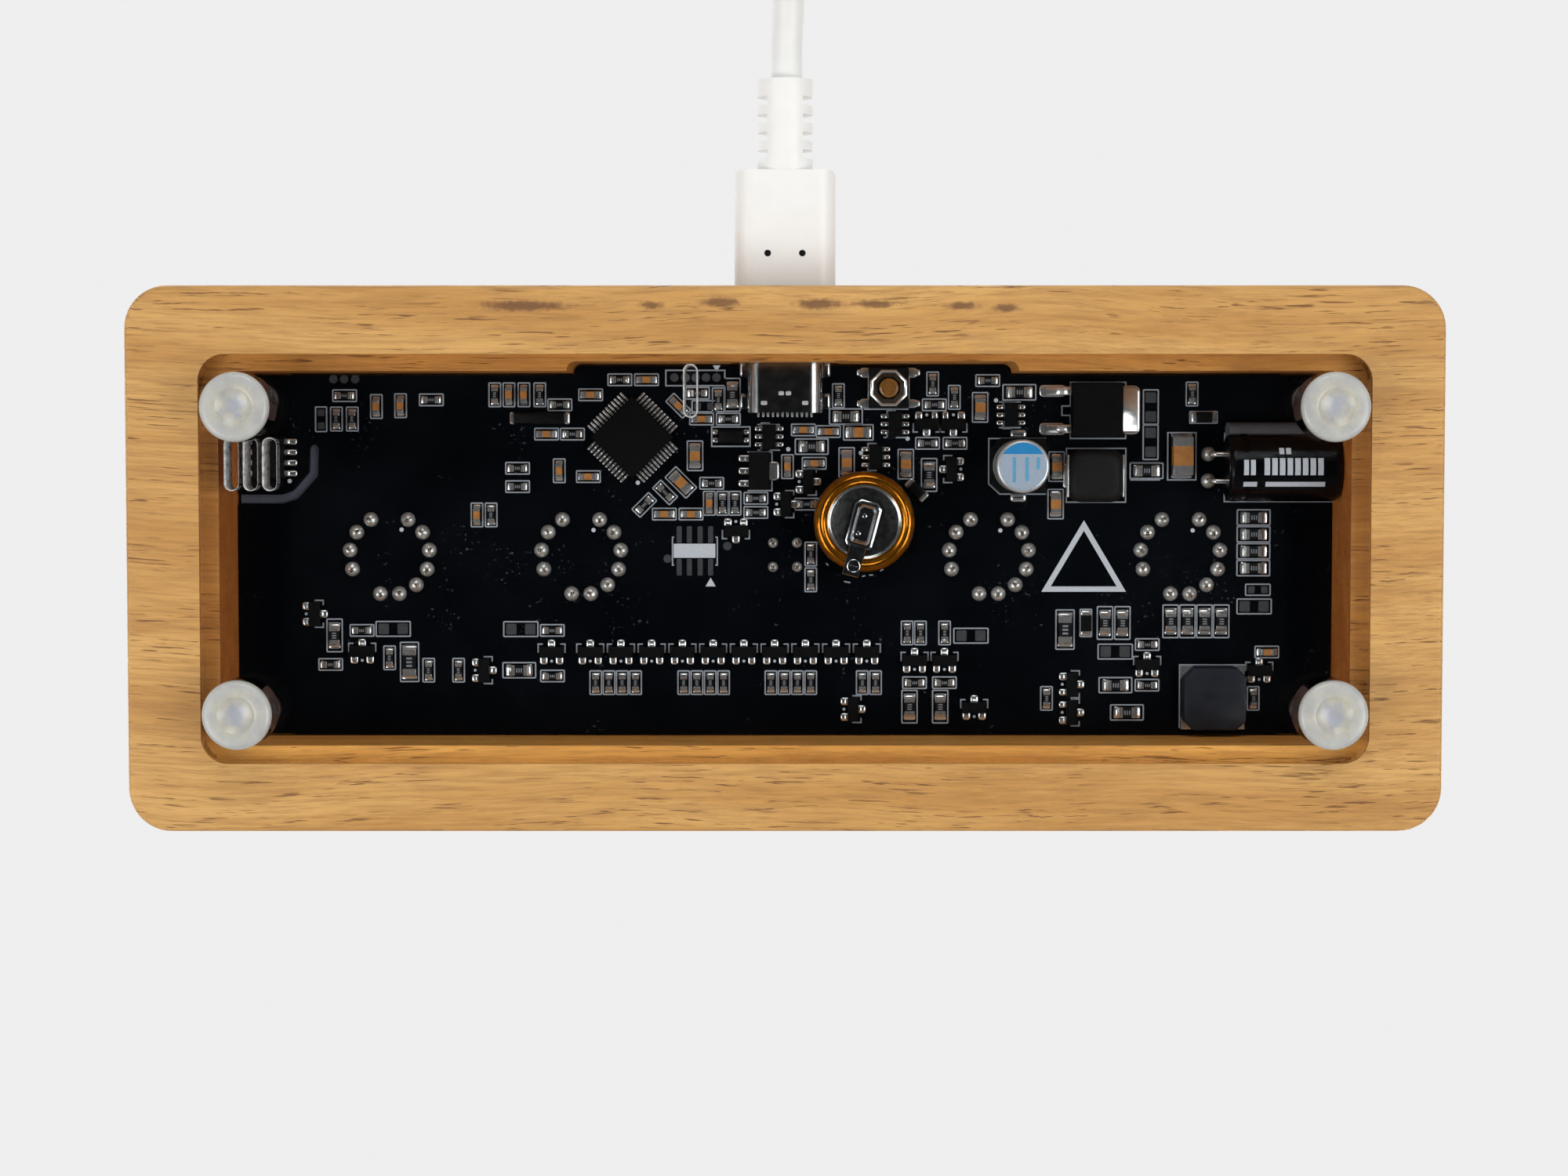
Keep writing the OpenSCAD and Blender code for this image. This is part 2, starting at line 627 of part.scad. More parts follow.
// A bead of silicone that holds the high-voltage capacitor to the board
module capacitor_glue() color([0.62, 0.64, 0.66])
    translate(concat(seat([hv_capacitor[0] - 0.5, hv_capacitor[1]]), hv_axis_z)) rotate([0, -90, 0])
        difference() {
            r = hv_can_d / 2;
            linear_extrude(hv_can_l - 1.5) intersection() {
                translate([r + 0.1 - 4.8, r - 2.2]) square([4.8, 4]);
                translate([r - 1.7, r - 1.3]) circle(2.7);
            }
            translate([0, 0, -1]) cylinder(h = hv_can_l + 2, r = r + 0.02);
        }

inductor_w = 6.8;
inductor_d = 6.4;
inductor_t = 3;

module power_inductor() color([0.10, 0.10, 0.11]) under(inductor) {
    translate([0, 0, 0.1]) linear_extrude(inductor_t - 0.1) difference() {
        round_rect(inductor_w - 0.4, inductor_d, 0.8);
        for (s = [-1, 1]) translate([s * inductor_w / 2, 0]) square([0.8, 2.6], center = true);
    }
}

module inductor_terminals() color([0.80, 0.80, 0.78]) under(inductor) for (s = [-1, 1]) {
    translate([s * (inductor_w / 2 - 0.15), 0, 0.1]) chip([0.3, 2.4], 1.6);
    translate([s * (inductor_w / 2 - 0.5), 0, 0]) chip([1.2, 2.4], 0.1);
}

buzzer_w = 7.5;
buzzer_t = 2.5;

module buzzer() color([0.08, 0.08, 0.08]) under(buzzer_at) difference() {
    linear_extrude(buzzer_t) difference() {
        square(buzzer_w, center = true);
        for (k = [0 : 3]) rotate(45 + 90 * k)
            translate([buzzer_w / 2 * sqrt(2), 0]) square([1.6, 4], center = true);
    }
    translate([-buzzer_w / 2 + 2, -buzzer_w / 2 + 2, buzzer_t - 0.6]) cylinder(h = 1, r = 0.5);
}

module buzzer_terminals() color([0.80, 0.80, 0.78]) under(buzzer_at)
    for (k = [0 : 3]) rotate(45 + 90 * k)
        translate([buzzer_w / 2 * sqrt(2) - 0.8, -0.7, 0]) cube([0.5, 1.4, 1]);

transistor_w = 6.2;
transistor_d = 6.5;
transistor_t = 2.3;

module power_transistor() color([0.08, 0.08, 0.08]) under(transistor) {
    chip([transistor_w, transistor_d], transistor_t / 2, 0.55);
    translate([0, 0, transistor_t / 2 + 0.55])
        chip([transistor_w - 0.3, transistor_d - 0.3], transistor_t / 2 - 0.55);
}

module power_transistor_tab() color([0.80, 0.80, 0.78]) under(transistor) {
    translate([-1.4, 0, 0]) chip([7.2, 5.4], 0.5);
    for (s = [-1, 1]) translate([transistor_w / 2, s * 2.28, 0]) leg(2.6, 1, 0.7, 0.4);
}

// ---------- Small parts ----------
trio_size = [2.9, 1.3];
trio_t = 0.95;
six_size = [1.6, 2.9];
sensor_size = [3.9, 4.9];
regulator_size = [2.5, 4.5];
lift = 0.08;

function drivers() = [for (i = [0 : driver_count - 1]) [driver_x - i * driver_pitch, driver_y, 0]];
function bias_row() = [for (g = bias_groups, i = [0 : g[1] - 1]) [g[0] - i * bias_pitch, bias_y, 90]];
function divider() = [for (i = [0 : divider_count - 1]) [divider_x, divider_y - i * chip_row_pitch, 0]];
function bleed() = [for (i = [0 : bleed_count - 1]) [bleed_x - i * chip_row_pitch, bleed_y, 90]];

module on_board(list) for (p = list) under(p, p[2]) children();

module small_chips() color([0.07, 0.07, 0.08]) {
    on_board(concat(drivers(), trios)) chip(trio_size, trio_t - lift, lift);
    on_board(sixes) chip(six_size, 1.1 - lift, lift);
    under(sensor) chip(sensor_size, 1.4, lift);
    under(regulator) chip(regulator_size, 1.5 - lift, lift);
}

module chip_leads() color([0.80, 0.80, 0.78]) {
    on_board(concat(drivers(), trios)) {
        rotate(90) leg_row(1, 1, trio_size[1] / 2, 0.55, 0.6, 0.42);
        rotate(-90) leg_row(2, 1.9, trio_size[1] / 2, 0.55, 0.6, 0.42);
    }
    on_board(sixes) for (s = [0, 180]) rotate(s) leg_row(3, 0.95, six_size[0] / 2, 0.6, 0.6, 0.38);
    for (s = [0, 180]) under(sensor, s) leg_row(4, 1.27, sensor_size[0] / 2, 1.05, 0.8, 0.42);
    under(regulator) {
        leg_row(3, 1.5, regulator_size[0] / 2, 0.9, 0.45, 0.45);
        translate([-regulator_size[0] / 2 - 0.45, 0, 0]) chip([0.9, 1.6], 0.4);
    }
    for (sx = [-1, 1], sy = [-1, 1])
        under(reset_switch) translate([sx * (switch_w / 2 + 0.35), sy * 1.85, 0]) chip([0.7, 0.7], 0.3);
}

module chip_resistors() color([0.10, 0.10, 0.11]) {
    on_board(concat(resistors_0603, bias_row())) chip(size_0603, resistor_t);
    on_board(concat(resistors_0805, divider(), bleed())) chip(size_0805, resistor_t);
    on_board(resistors_1206) chip(size_1206, resistor_t);
}

module chip_capacitors() color([0.62, 0.46, 0.30]) {
    on_board(capacitors_0603) chip(size_0603, capacitor_t);
    on_board(capacitors_0805) chip(size_0805, capacitor_t);
    under(bulk_capacitor, 90) chip([4.5, 2.4], 2);
}

module diodes() color([0.08, 0.08, 0.08]) on_board(small_diodes) chip([2.7, 1.3], 1.1);

module crystals() color([0.66, 0.67, 0.68]) {
    under(slim_crystal) chip([6.9, 1.4], 1.4);
    under(oscillator) chip([3.2, 1.5], 0.8);
}

// A cone of solder around a wire that comes through the board
module solder_cone(r) translate([0, 0, board_z - solder_h]) difference() {
    cylinder(h = solder_h, r1 = 0.42 * r + lead_d / 4, r2 = r, $fn = 24);
    translate([0, 0, -1]) cylinder(h = solder_h + 2, r = 0.31, $fn = 24);
}

module solder_joints() color([0.70, 0.71, 0.72]) {
    for (x = tube_xs, a = tube_angles)
        translate([x, 0, 0]) rotate(a) translate([lead_ring_d / 2, 0, 0]) solder_cone(0.95);
    for (sx = [-1, 1], sy = [-1, 1])
        translate([sx * lamp_wire_x, sy * lamp_wire_x, 0]) solder_cone(0.62);
    for (s = [-1, 1]) translate(hv_hole(s)) solder_cone(0.95);
}

// ---------- Digit tubes ----------
// Half of the outline of a bulb of radius r that starts at height base, for turning
module bulb_half(r, base, top, foot_r) intersection() {
    union() {
        translate([-r, base]) square([2 * r, foot_r + 0.01]);
        translate([-r, base + foot_r]) square([2 * r, top - r - base - foot_r]);
        translate([0, top - r]) circle(r);
    }
    square([r + 1, top + 1]);
}

module tube_glass(i) color([0.85, 0.90, 0.92, 0.3]) translate([tube_xs[i], 0, tube_z]) difference() {
    rotate_extrude() {
        difference() {
            bulb_half(tube_r, 0, tube_h, 0.5);
            bulb_half(bore_r, glass_floor, tube_h - glass_t, 0.5);
        }
        intersection() {
            translate([0, tube_h + 0.2]) circle(1.4);
            translate([0, tube_h - glass_t / 2]) square([2, 4]);
        }
        translate([0, glass_floor - 0.2]) square([bore_r * 0.78, 2.2]);
    }
    for (a = tube_angles) rotate(a) translate([lead_ring_d / 2, 0, -1])
        cylinder(h = 6, d = lead_d + 2 * wire_clear, $fn = 24);
}

// Digits are drawn with lines and arcs of the stroke's width, about their own centre
half_w = (digit_w - digit_stroke) / 2;
half_h = (digit_h - digit_stroke) / 2;
six_tip = 0.3;
// Where the six's tail leaves its loop, and how far the tail turns
six_join = 160;
six_turn = 44;
four_x = 0.5;
seven_x = -0.2;
// Where a digit's outline meets its upper and its lower ear, as a share of its half width
function upper_x(n) = n == 4 ? four_x : n == 6 ? six_tip : 0;
function lower_x(n) = n == 4 ? four_x : n == 7 ? seven_x : n == 9 ? -six_tip : 0;

module stroke(p, q) channel(p, q, digit_stroke);

// A thin bar with square ends, which joins an ear to a digit's outline
link_w = 0.35;

module link(p, q) translate(p) rotate(atan2(q[1] - p[1], q[0] - p[0]))
    translate([0, -link_w / 2]) square([norm(q - p), link_w]);

// An arc of radius r about c from angle a0 to a1
module bow(c, r, a0, a1, round_ends = 2) translate(c) {
    steps = ceil((a1 - a0) / 45);
    intersection() {
        difference() {
            circle(r + digit_stroke / 2);
            circle(r - digit_stroke / 2);
        }
        polygon(concat([[0, 0]],
            [for (k = [0 : steps]) 2 * r * [cos(a0 + k * (a1 - a0) / steps), sin(a0 + k * (a1 - a0) / steps)]]));
    }
    for (k = [0 : round_ends - 1]) let (a = [a0, a1][k])
        translate(r * [cos(a), sin(a)]) circle(digit_stroke / 2);
}

module ring(c, r) translate(c) difference() {
    circle(r + digit_stroke / 2);
    circle(r - digit_stroke / 2);
}

module digit_six() {
    low = half_w - half_h;
    join = [half_w * cos(six_join), low + half_w * sin(six_join)];
    run = [six_tip * half_w, half_h] - join;
    tail_r = norm(run) / (2 * sin(six_turn / 2));
    heading = atan2(run[1], run[0]) + six_turn / 2;
    ring([0, low], half_w);
    bow(join + tail_r * [sin(heading), -cos(heading)], tail_r, heading + 90 - six_turn, heading + 90, 1);
}

module digit_outline(n) {
    high = half_h - half_w;
    loop_r = half_h / 2;
    if (n == 0) {
        bow([0, high], half_w, 0, 180);
        bow([0, -high], half_w, 180, 360);
        for (s = [-1, 1]) stroke([s * half_w, -high], [s * half_w, high]);
    }
    if (n == 1) {
        stroke([0, -half_h], [0, half_h]);
        stroke([0, half_h], [-0.5 * half_w, half_h - 0.5 * half_w]);
    }
    if (n == 2) {
        bow([0, high], half_w, -35, 170);
        stroke([half_w * cos(-35), high + half_w * sin(-35)], [-half_w, -half_h]);
        stroke([-half_w, -half_h], [half_w, -half_h]);
    }
    if (n == 3) {
        bow([0, loop_r], loop_r, -90, 150);
        bow([0, -loop_r], loop_r, -150, 90);
    }
    if (n == 4) {
        stroke([four_x * half_w, -half_h], [four_x * half_w, half_h]);
        stroke([four_x * half_w, half_h], [-half_w, -0.4 * half_h]);
        stroke([-half_w, -0.4 * half_h], [half_w, -0.4 * half_h]);
    }
    if (n == 5) {
        bow([0, -high], half_w, -150, 140);
        stroke([half_w * cos(140), -high + half_w * sin(140)], [half_w * cos(140), half_h]);
        stroke([half_w * cos(140), half_h], [0.85 * half_w, half_h]);
    }
    if (n == 6) digit_six();
    if (n == 7) {
        stroke([-half_w, half_h], [half_w, half_h]);
        stroke([half_w, half_h], [seven_x * half_w, -half_h]);
    }
    if (n == 8) {
        ring([0, half_h - 0.93 * loop_r], 0.93 * loop_r);
        ring([0, -half_h + 1.07 * loop_r], 1.07 * loop_r);
    }
    if (n == 9) rotate(180) digit_six();
}

// Each digit hangs between two ears, which thread onto the stack's rods
module digit(n) {
    ear_y = digit_h / 2 + ear_rise;
    linear_extrude(digit_t, center = true) {
        difference() {
            union() {
                digit_outline(n);
                link([0, ear_y], [upper_x(n) * half_w, half_h]);
                link([0, -ear_y], [lower_x(n) * half_w, -half_h]);
                for (s = [-1, 1]) translate([0, s * ear_y]) circle(ear_r);
            }
            for (s = [-1, 1]) translate([0, s * ear_y]) circle(rod_r + rod_clear);
        }
    }
}

module in_tube(i) translate([tube_xs[i], 0, stack_z]) children();

module tube_cathodes(i) color([0.70, 0.66, 0.62]) in_tube(i)
    for (k = [0 : len(digit_order) - 1])
        translate([0, (k - (len(digit_order) - 1) / 2) * digit_pitch, 0]) rotate([90, 0, 0])
            digit(digit_order[k]);

// A screen at the back and sides, and an open frame of fine bars in front
module tube_anode(i) color([0.55, 0.56, 0.58]) in_tube(i) {
    w = 2 * anode_half_x;
    h = 2 * stack_half;
    bars = 5;
    for (s = [-1, 1]) translate([s * (anode_half_x - anode_t / 2) - anode_t / 2, -anode_half_y, 0])
        rotate([90, 0, 90]) linear_extrude(anode_t) difference() {
            translate([0, -h / 2]) square([2 * anode_half_y, h]);
            translate([anode_half_y, 0]) square([anode_half_y, 0.75 * digit_h], center = true);
        }
    translate([0, anode_half_y, 0]) rotate([90, 0, 0]) linear_extrude(anode_t) anode_face(w, h);
    translate([0, anode_t - anode_half_y, 0]) rotate([90, 0, 0]) linear_extrude(anode_t) difference() {
        anode_face(w, h);
        for (b = [0 : bars - 1])
            translate([(b - (bars - 1) / 2) * (w - 1.5) / bars, 0])
                square([(w - 1.5) / bars - 0.2, digit_h], center = true);
    }
}

module anode_face(w, h) difference() {
    square([w, h], center = true);
    for (s = [-1, 1]) translate([0, s * (digit_h / 2 + ear_rise)]) circle(rod_r + rod_clear);
}

module tube_supports(i) color([0.90, 0.89, 0.85]) in_tube(i) {
    for (s = [-1, 1]) {
        translate([0, 0, s * (stack_half + disc_t / 2) - disc_t / 2]) cylinder(h = disc_t, r = disc_r);
        translate([0, anode_half_y + 0.3, s * (digit_h / 2 + ear_rise)]) rotate([90, 0, 0])
            cylinder(h = 2 * anode_half_y + 0.6, r = rod_r, $fn = 24);
    }
}

module tube_leads() color([0.66, 0.62, 0.56])
    for (x = tube_xs, a = tube_angles) translate([x, 0, lead_end_z]) rotate(a)
        translate([lead_ring_d / 2, 0, 0])
            cylinder(h = stack_z - stack_half - disc_t - lead_end_z, d = lead_d, $fn = 24);

module tube_spacers() color([0.92, 0.92, 0.90])
    for (x = tube_xs) translate([x, 0, board_top_z]) difference() {
        cylinder(h = spacer_t, r = tube_r - 0.4);
        translate([0, 0, -1]) cylinder(h = spacer_t + 2, r = lead_ring_d / 2 + 1.2);
    }

// ---------- Colon ----------
module lamp_place(k) translate([0, (k == 0 ? -1 : 1) * lamp_wire_x, k == 0 ? lamp_low_z : lamp_high_z])
    children();

module colon_lamps() color([0.90, 0.90, 0.88, 0.35]) for (k = [0, 1]) lamp_place(k) difference() {
    r = lamp_d / 2;
    rotate_extrude() difference() {
        bulb_half(r, 0, lamp_l, 0.3);
        bulb_half(r - 0.4, 2, lamp_l - 0.4, 0.3);
    }
    for (s = [-1, 1]) translate([s * lamp_wire_x, 0, -1])
        cylinder(h = 4, d = lead_d + 2 * wire_clear, $fn = 24);
}

module colon_electrodes() color([0.62, 0.60, 0.58]) for (k = [0, 1], s = [-1, 1]) {
    base_z = k == 0 ? lamp_low_z : lamp_high_z;
    translate([s * lamp_wire_x, (k == 0 ? -1 : 1) * lamp_wire_x, lead_end_z])
        cylinder(h = base_z + 0.65 * lamp_l - lead_end_z, d = lead_d, $fn = 24);
    translate([s * lamp_wire_x, (k == 0 ? -1 : 1) * lamp_wire_x, base_z + 0.3 * lamp_l])
        cylinder(h = 0.4 * lamp_l, d = 2 * lead_d, $fn = 24);
}

// ---------- USB lead ----------
module usb_plug_shell() color([0.78, 0.79, 0.80]) along_usb(grip_y - plug_l) difference() {
    linear_extrude(plug_l) stadium(plug_w, plug_h);
    translate([0, 0, -1]) linear_extrude(plug_slot[2] + 1) square([plug_slot[0], plug_slot[1]], center = true);
}

// Two small round recesses stand side by side on the grip's underside
grip_dimple_d = 0.8;
grip_dimple_apart = 4.1;
grip_dimple_deep = 0.3;

module usb_plug_grip() color([0.90, 0.90, 0.89]) {
    difference() {
        intersection() {
            along_usb(grip_y) linear_extrude(grip_l) round_rect(grip_w, grip_t, 2.2);
            translate([0, grip_y + grip_l / 2, usb_z - grip_t]) linear_extrude(2 * grip_t)
                round_rect(grip_w, grip_l, 0.8);
        }
        for (s = [-1, 1])
            translate([s * grip_dimple_apart / 2, grip_y + 0.53 * grip_l, usb_z - grip_t / 2 - 1])
                cylinder(h = 1 + grip_dimple_deep, d = grip_dimple_d, $fn = 24);
    }
    along_usb(relief_y) difference() {
        cylinder(h = relief_l, r = relief_w / 2);
        for (s = [-1, 1], k = [0 : relief_notches - 1])
            translate([s * relief_w / 2, 0, 1.4 + k * (relief_l - 2.4) / relief_notches])
                translate([-1.2, -relief_w, 0]) cube([2.4, 2 * relief_w, relief_notch_w]);
    }
}

// A round tube through the points, as one closed skin with a ring at each point
module sweep(points, r, sides = 8) {
    last = len(points) - 1;
    function heading(i) = let (d = points[min(i + 1, last)] - points[max(i - 1, 0)]) d / norm(d);
    function across(i) = let (h = heading(i), c = cross(h, [0, 0, 1])) c / norm(c);
    rings = [for (i = [0 : last], k = [0 : sides - 1])
        let (u = across(i), v = cross(u, heading(i)), a = 360 * k / sides)
            points[i] + r * (u * cos(a) + v * sin(a))];
    polyhedron(
        points = rings,
        faces = concat(
            [[for (k = [0 : sides - 1]) k]],
            [for (i = [0 : last - 1], k = [0 : sides - 1]) let (n = (k + 1) % sides)
                [i * sides + k, (i + 1) * sides + k, (i + 1) * sides + n, i * sides + n]],
            [[for (k = [sides - 1 : -1 : 0]) last * sides + k]]
        )
    );
}

module usb_cable() color([0.90, 0.90, 0.89]) {
    sweep([for (p = route_in) [p[0], cable_y + p[1], p[2]]], cable_r);
    sweep(route_out, cable_r);
}

// The tie's band stands this far clear of the coil's sides
tie_clear = 0.05;
// The coil's round inside comes nearer to the middle at the band's edges
tie_inner = sqrt(pow(coil_inner_r, 2) - pow(tie_w / 2, 2)) - tie_clear;
tie_outer = coil_outer_r + tie_clear;

module by_tie() translate([coil_x, coil_y, 0]) rotate(45) rotate([90, 0, 0])
    linear_extrude(tie_w, center = true) children();

module cable_coil() color([0.90, 0.90, 0.89]) difference() {
    translate([coil_x, coil_y, 0]) rotate_extrude()
        translate([coil_inner_r, 0]) soft_profile(coil_outer_r - coil_inner_r, coil_h, 1);
    by_tie() translate([coil_inner_r / 2, -1]) square([coil_outer_r, tie_t + 1]);
}

module cable_tie() color([0.12, 0.12, 0.13]) by_tie() difference() {
    translate([tie_inner - tie_t, 0]) square([tie_outer - tie_inner + 2 * tie_t, coil_h + tie_t]);
    translate([tie_inner, tie_t]) square([tie_outer - tie_inner, coil_h - tie_t]);
}

module charger_plug_grip() color([0.90, 0.90, 0.89])
    translate([charger_x, route_out[0][1], charger_z]) rotate([0, -90, 0]) {
        cylinder(h = charger_relief_l, r = 2.9);
        translate([0, 0, charger_relief_l]) linear_extrude(charger_grip[0])
            round_rect(charger_grip[2], charger_grip[1], 2.4);
    }

module charger_plug_shell() color([0.78, 0.79, 0.80])
    translate([charger_x - charger_relief_l - charger_grip[0], route_out[0][1], charger_z])
        rotate([0, -90, 0]) difference() {
            linear_extrude(charger_shell[0]) square([charger_shell[2], charger_shell[1]], center = true);
            translate([0.9, 0, 0.5]) linear_extrude(charger_shell[0]) square([2, charger_shell[1] - 0.8], center = true);
        }

// ---------- The parts ----------
wooden_case();
base_plate();
feet();
circuit_board();
board_screws();
usb_socket_shell();
usb_socket_tongue();
reset_switch_base();
reset_switch_cover();
reset_button();
microcontroller();
microcontroller_leads();
memory_cell_can();
memory_cell_sleeve();
memory_cell_tab();
filter_capacitor_can();
filter_capacitor_base();
high_voltage_capacitor();
high_voltage_capacitor_leads();
capacitor_glue();
power_inductor();
inductor_terminals();
buzzer();
buzzer_terminals();
power_transistor();
power_transistor_tab();
small_chips();
chip_leads();
chip_resistors();
chip_capacitors();
diodes();
crystals();
solder_joints();
tube_glass(0);  // tube_1_glass
tube_cathodes(0);  // tube_1_cathodes
tube_anode(0);  // tube_1_anode
tube_supports(0);  // tube_1_supports
tube_glass(1);  // tube_2_glass
tube_cathodes(1);  // tube_2_cathodes
tube_anode(1);  // tube_2_anode
tube_supports(1);  // tube_2_supports
tube_glass(2);  // tube_3_glass
tube_cathodes(2);  // tube_3_cathodes
tube_anode(2);  // tube_3_anode
tube_supports(2);  // tube_3_supports
tube_glass(3);  // tube_4_glass
tube_cathodes(3);  // tube_4_cathodes
tube_anode(3);  // tube_4_anode
tube_supports(3);  // tube_4_supports
tube_leads();
tube_spacers();
colon_lamps();
colon_electrodes();
usb_plug_shell();
usb_plug_grip();
usb_cable();
cable_coil();
cable_tie();
charger_plug_shell();
charger_plug_grip();
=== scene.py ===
"""Looks of a nixie tube clock, built around its CAD part.

The clock is a timber block on four clear feet. A clear base plate closes it from below and
shows a populated circuit board. Four digit tubes and two colon lamps stand in its top, and a
white USB lead is plugged in behind. Lengths are millimetres until a mesh is handed to
Blender, in metres. +Z is up, -Y the front, +Y the rear; the clock is seen from below.
"""

from __future__ import annotations

import logging
import math
from dataclasses import dataclass, field
from enum import Enum
from typing import Any, Sequence

import bpy
import numpy as np
from mathutils import Matrix

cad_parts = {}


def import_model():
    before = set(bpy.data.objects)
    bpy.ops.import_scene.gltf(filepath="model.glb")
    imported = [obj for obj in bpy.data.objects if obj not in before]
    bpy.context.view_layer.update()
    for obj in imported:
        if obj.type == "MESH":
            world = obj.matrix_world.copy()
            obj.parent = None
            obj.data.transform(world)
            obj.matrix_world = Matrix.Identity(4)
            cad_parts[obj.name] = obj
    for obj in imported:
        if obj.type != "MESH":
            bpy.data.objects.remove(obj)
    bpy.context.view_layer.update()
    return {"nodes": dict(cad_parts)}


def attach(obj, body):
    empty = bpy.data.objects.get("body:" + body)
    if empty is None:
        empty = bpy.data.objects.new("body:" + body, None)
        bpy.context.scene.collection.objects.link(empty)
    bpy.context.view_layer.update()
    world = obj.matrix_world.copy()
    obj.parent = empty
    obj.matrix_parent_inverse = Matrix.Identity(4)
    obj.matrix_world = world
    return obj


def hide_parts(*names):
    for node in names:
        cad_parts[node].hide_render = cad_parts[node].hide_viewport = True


LOG = logging.getLogger("nixie_clock")
MM = 0.001
CLEAR = (0.9, 0.9, 0.9, 1.0)
KEYS_PER_MM = 500
SAME_SIZE = 1e-3
GOLDEN_TURN = 137.5
Array = np.ndarray
Object = bpy.types.Object
Socket = bpy.types.NodeSocket
Tree = bpy.types.NodeTree
Point = tuple[float, float]
Place = tuple[float, float, float]
Colour = tuple[int, int, int]


class Body(Enum):
    """The bodies that pieces ride on."""

    CLOCK = "clock"
    BUTTON = "reset_button"
    LEAD = "usb_lead"


class Surface(Enum):
    """How light meets a finish."""

    SOLID = "solid"
    CLEAR = "clear"


# -------- mesh building


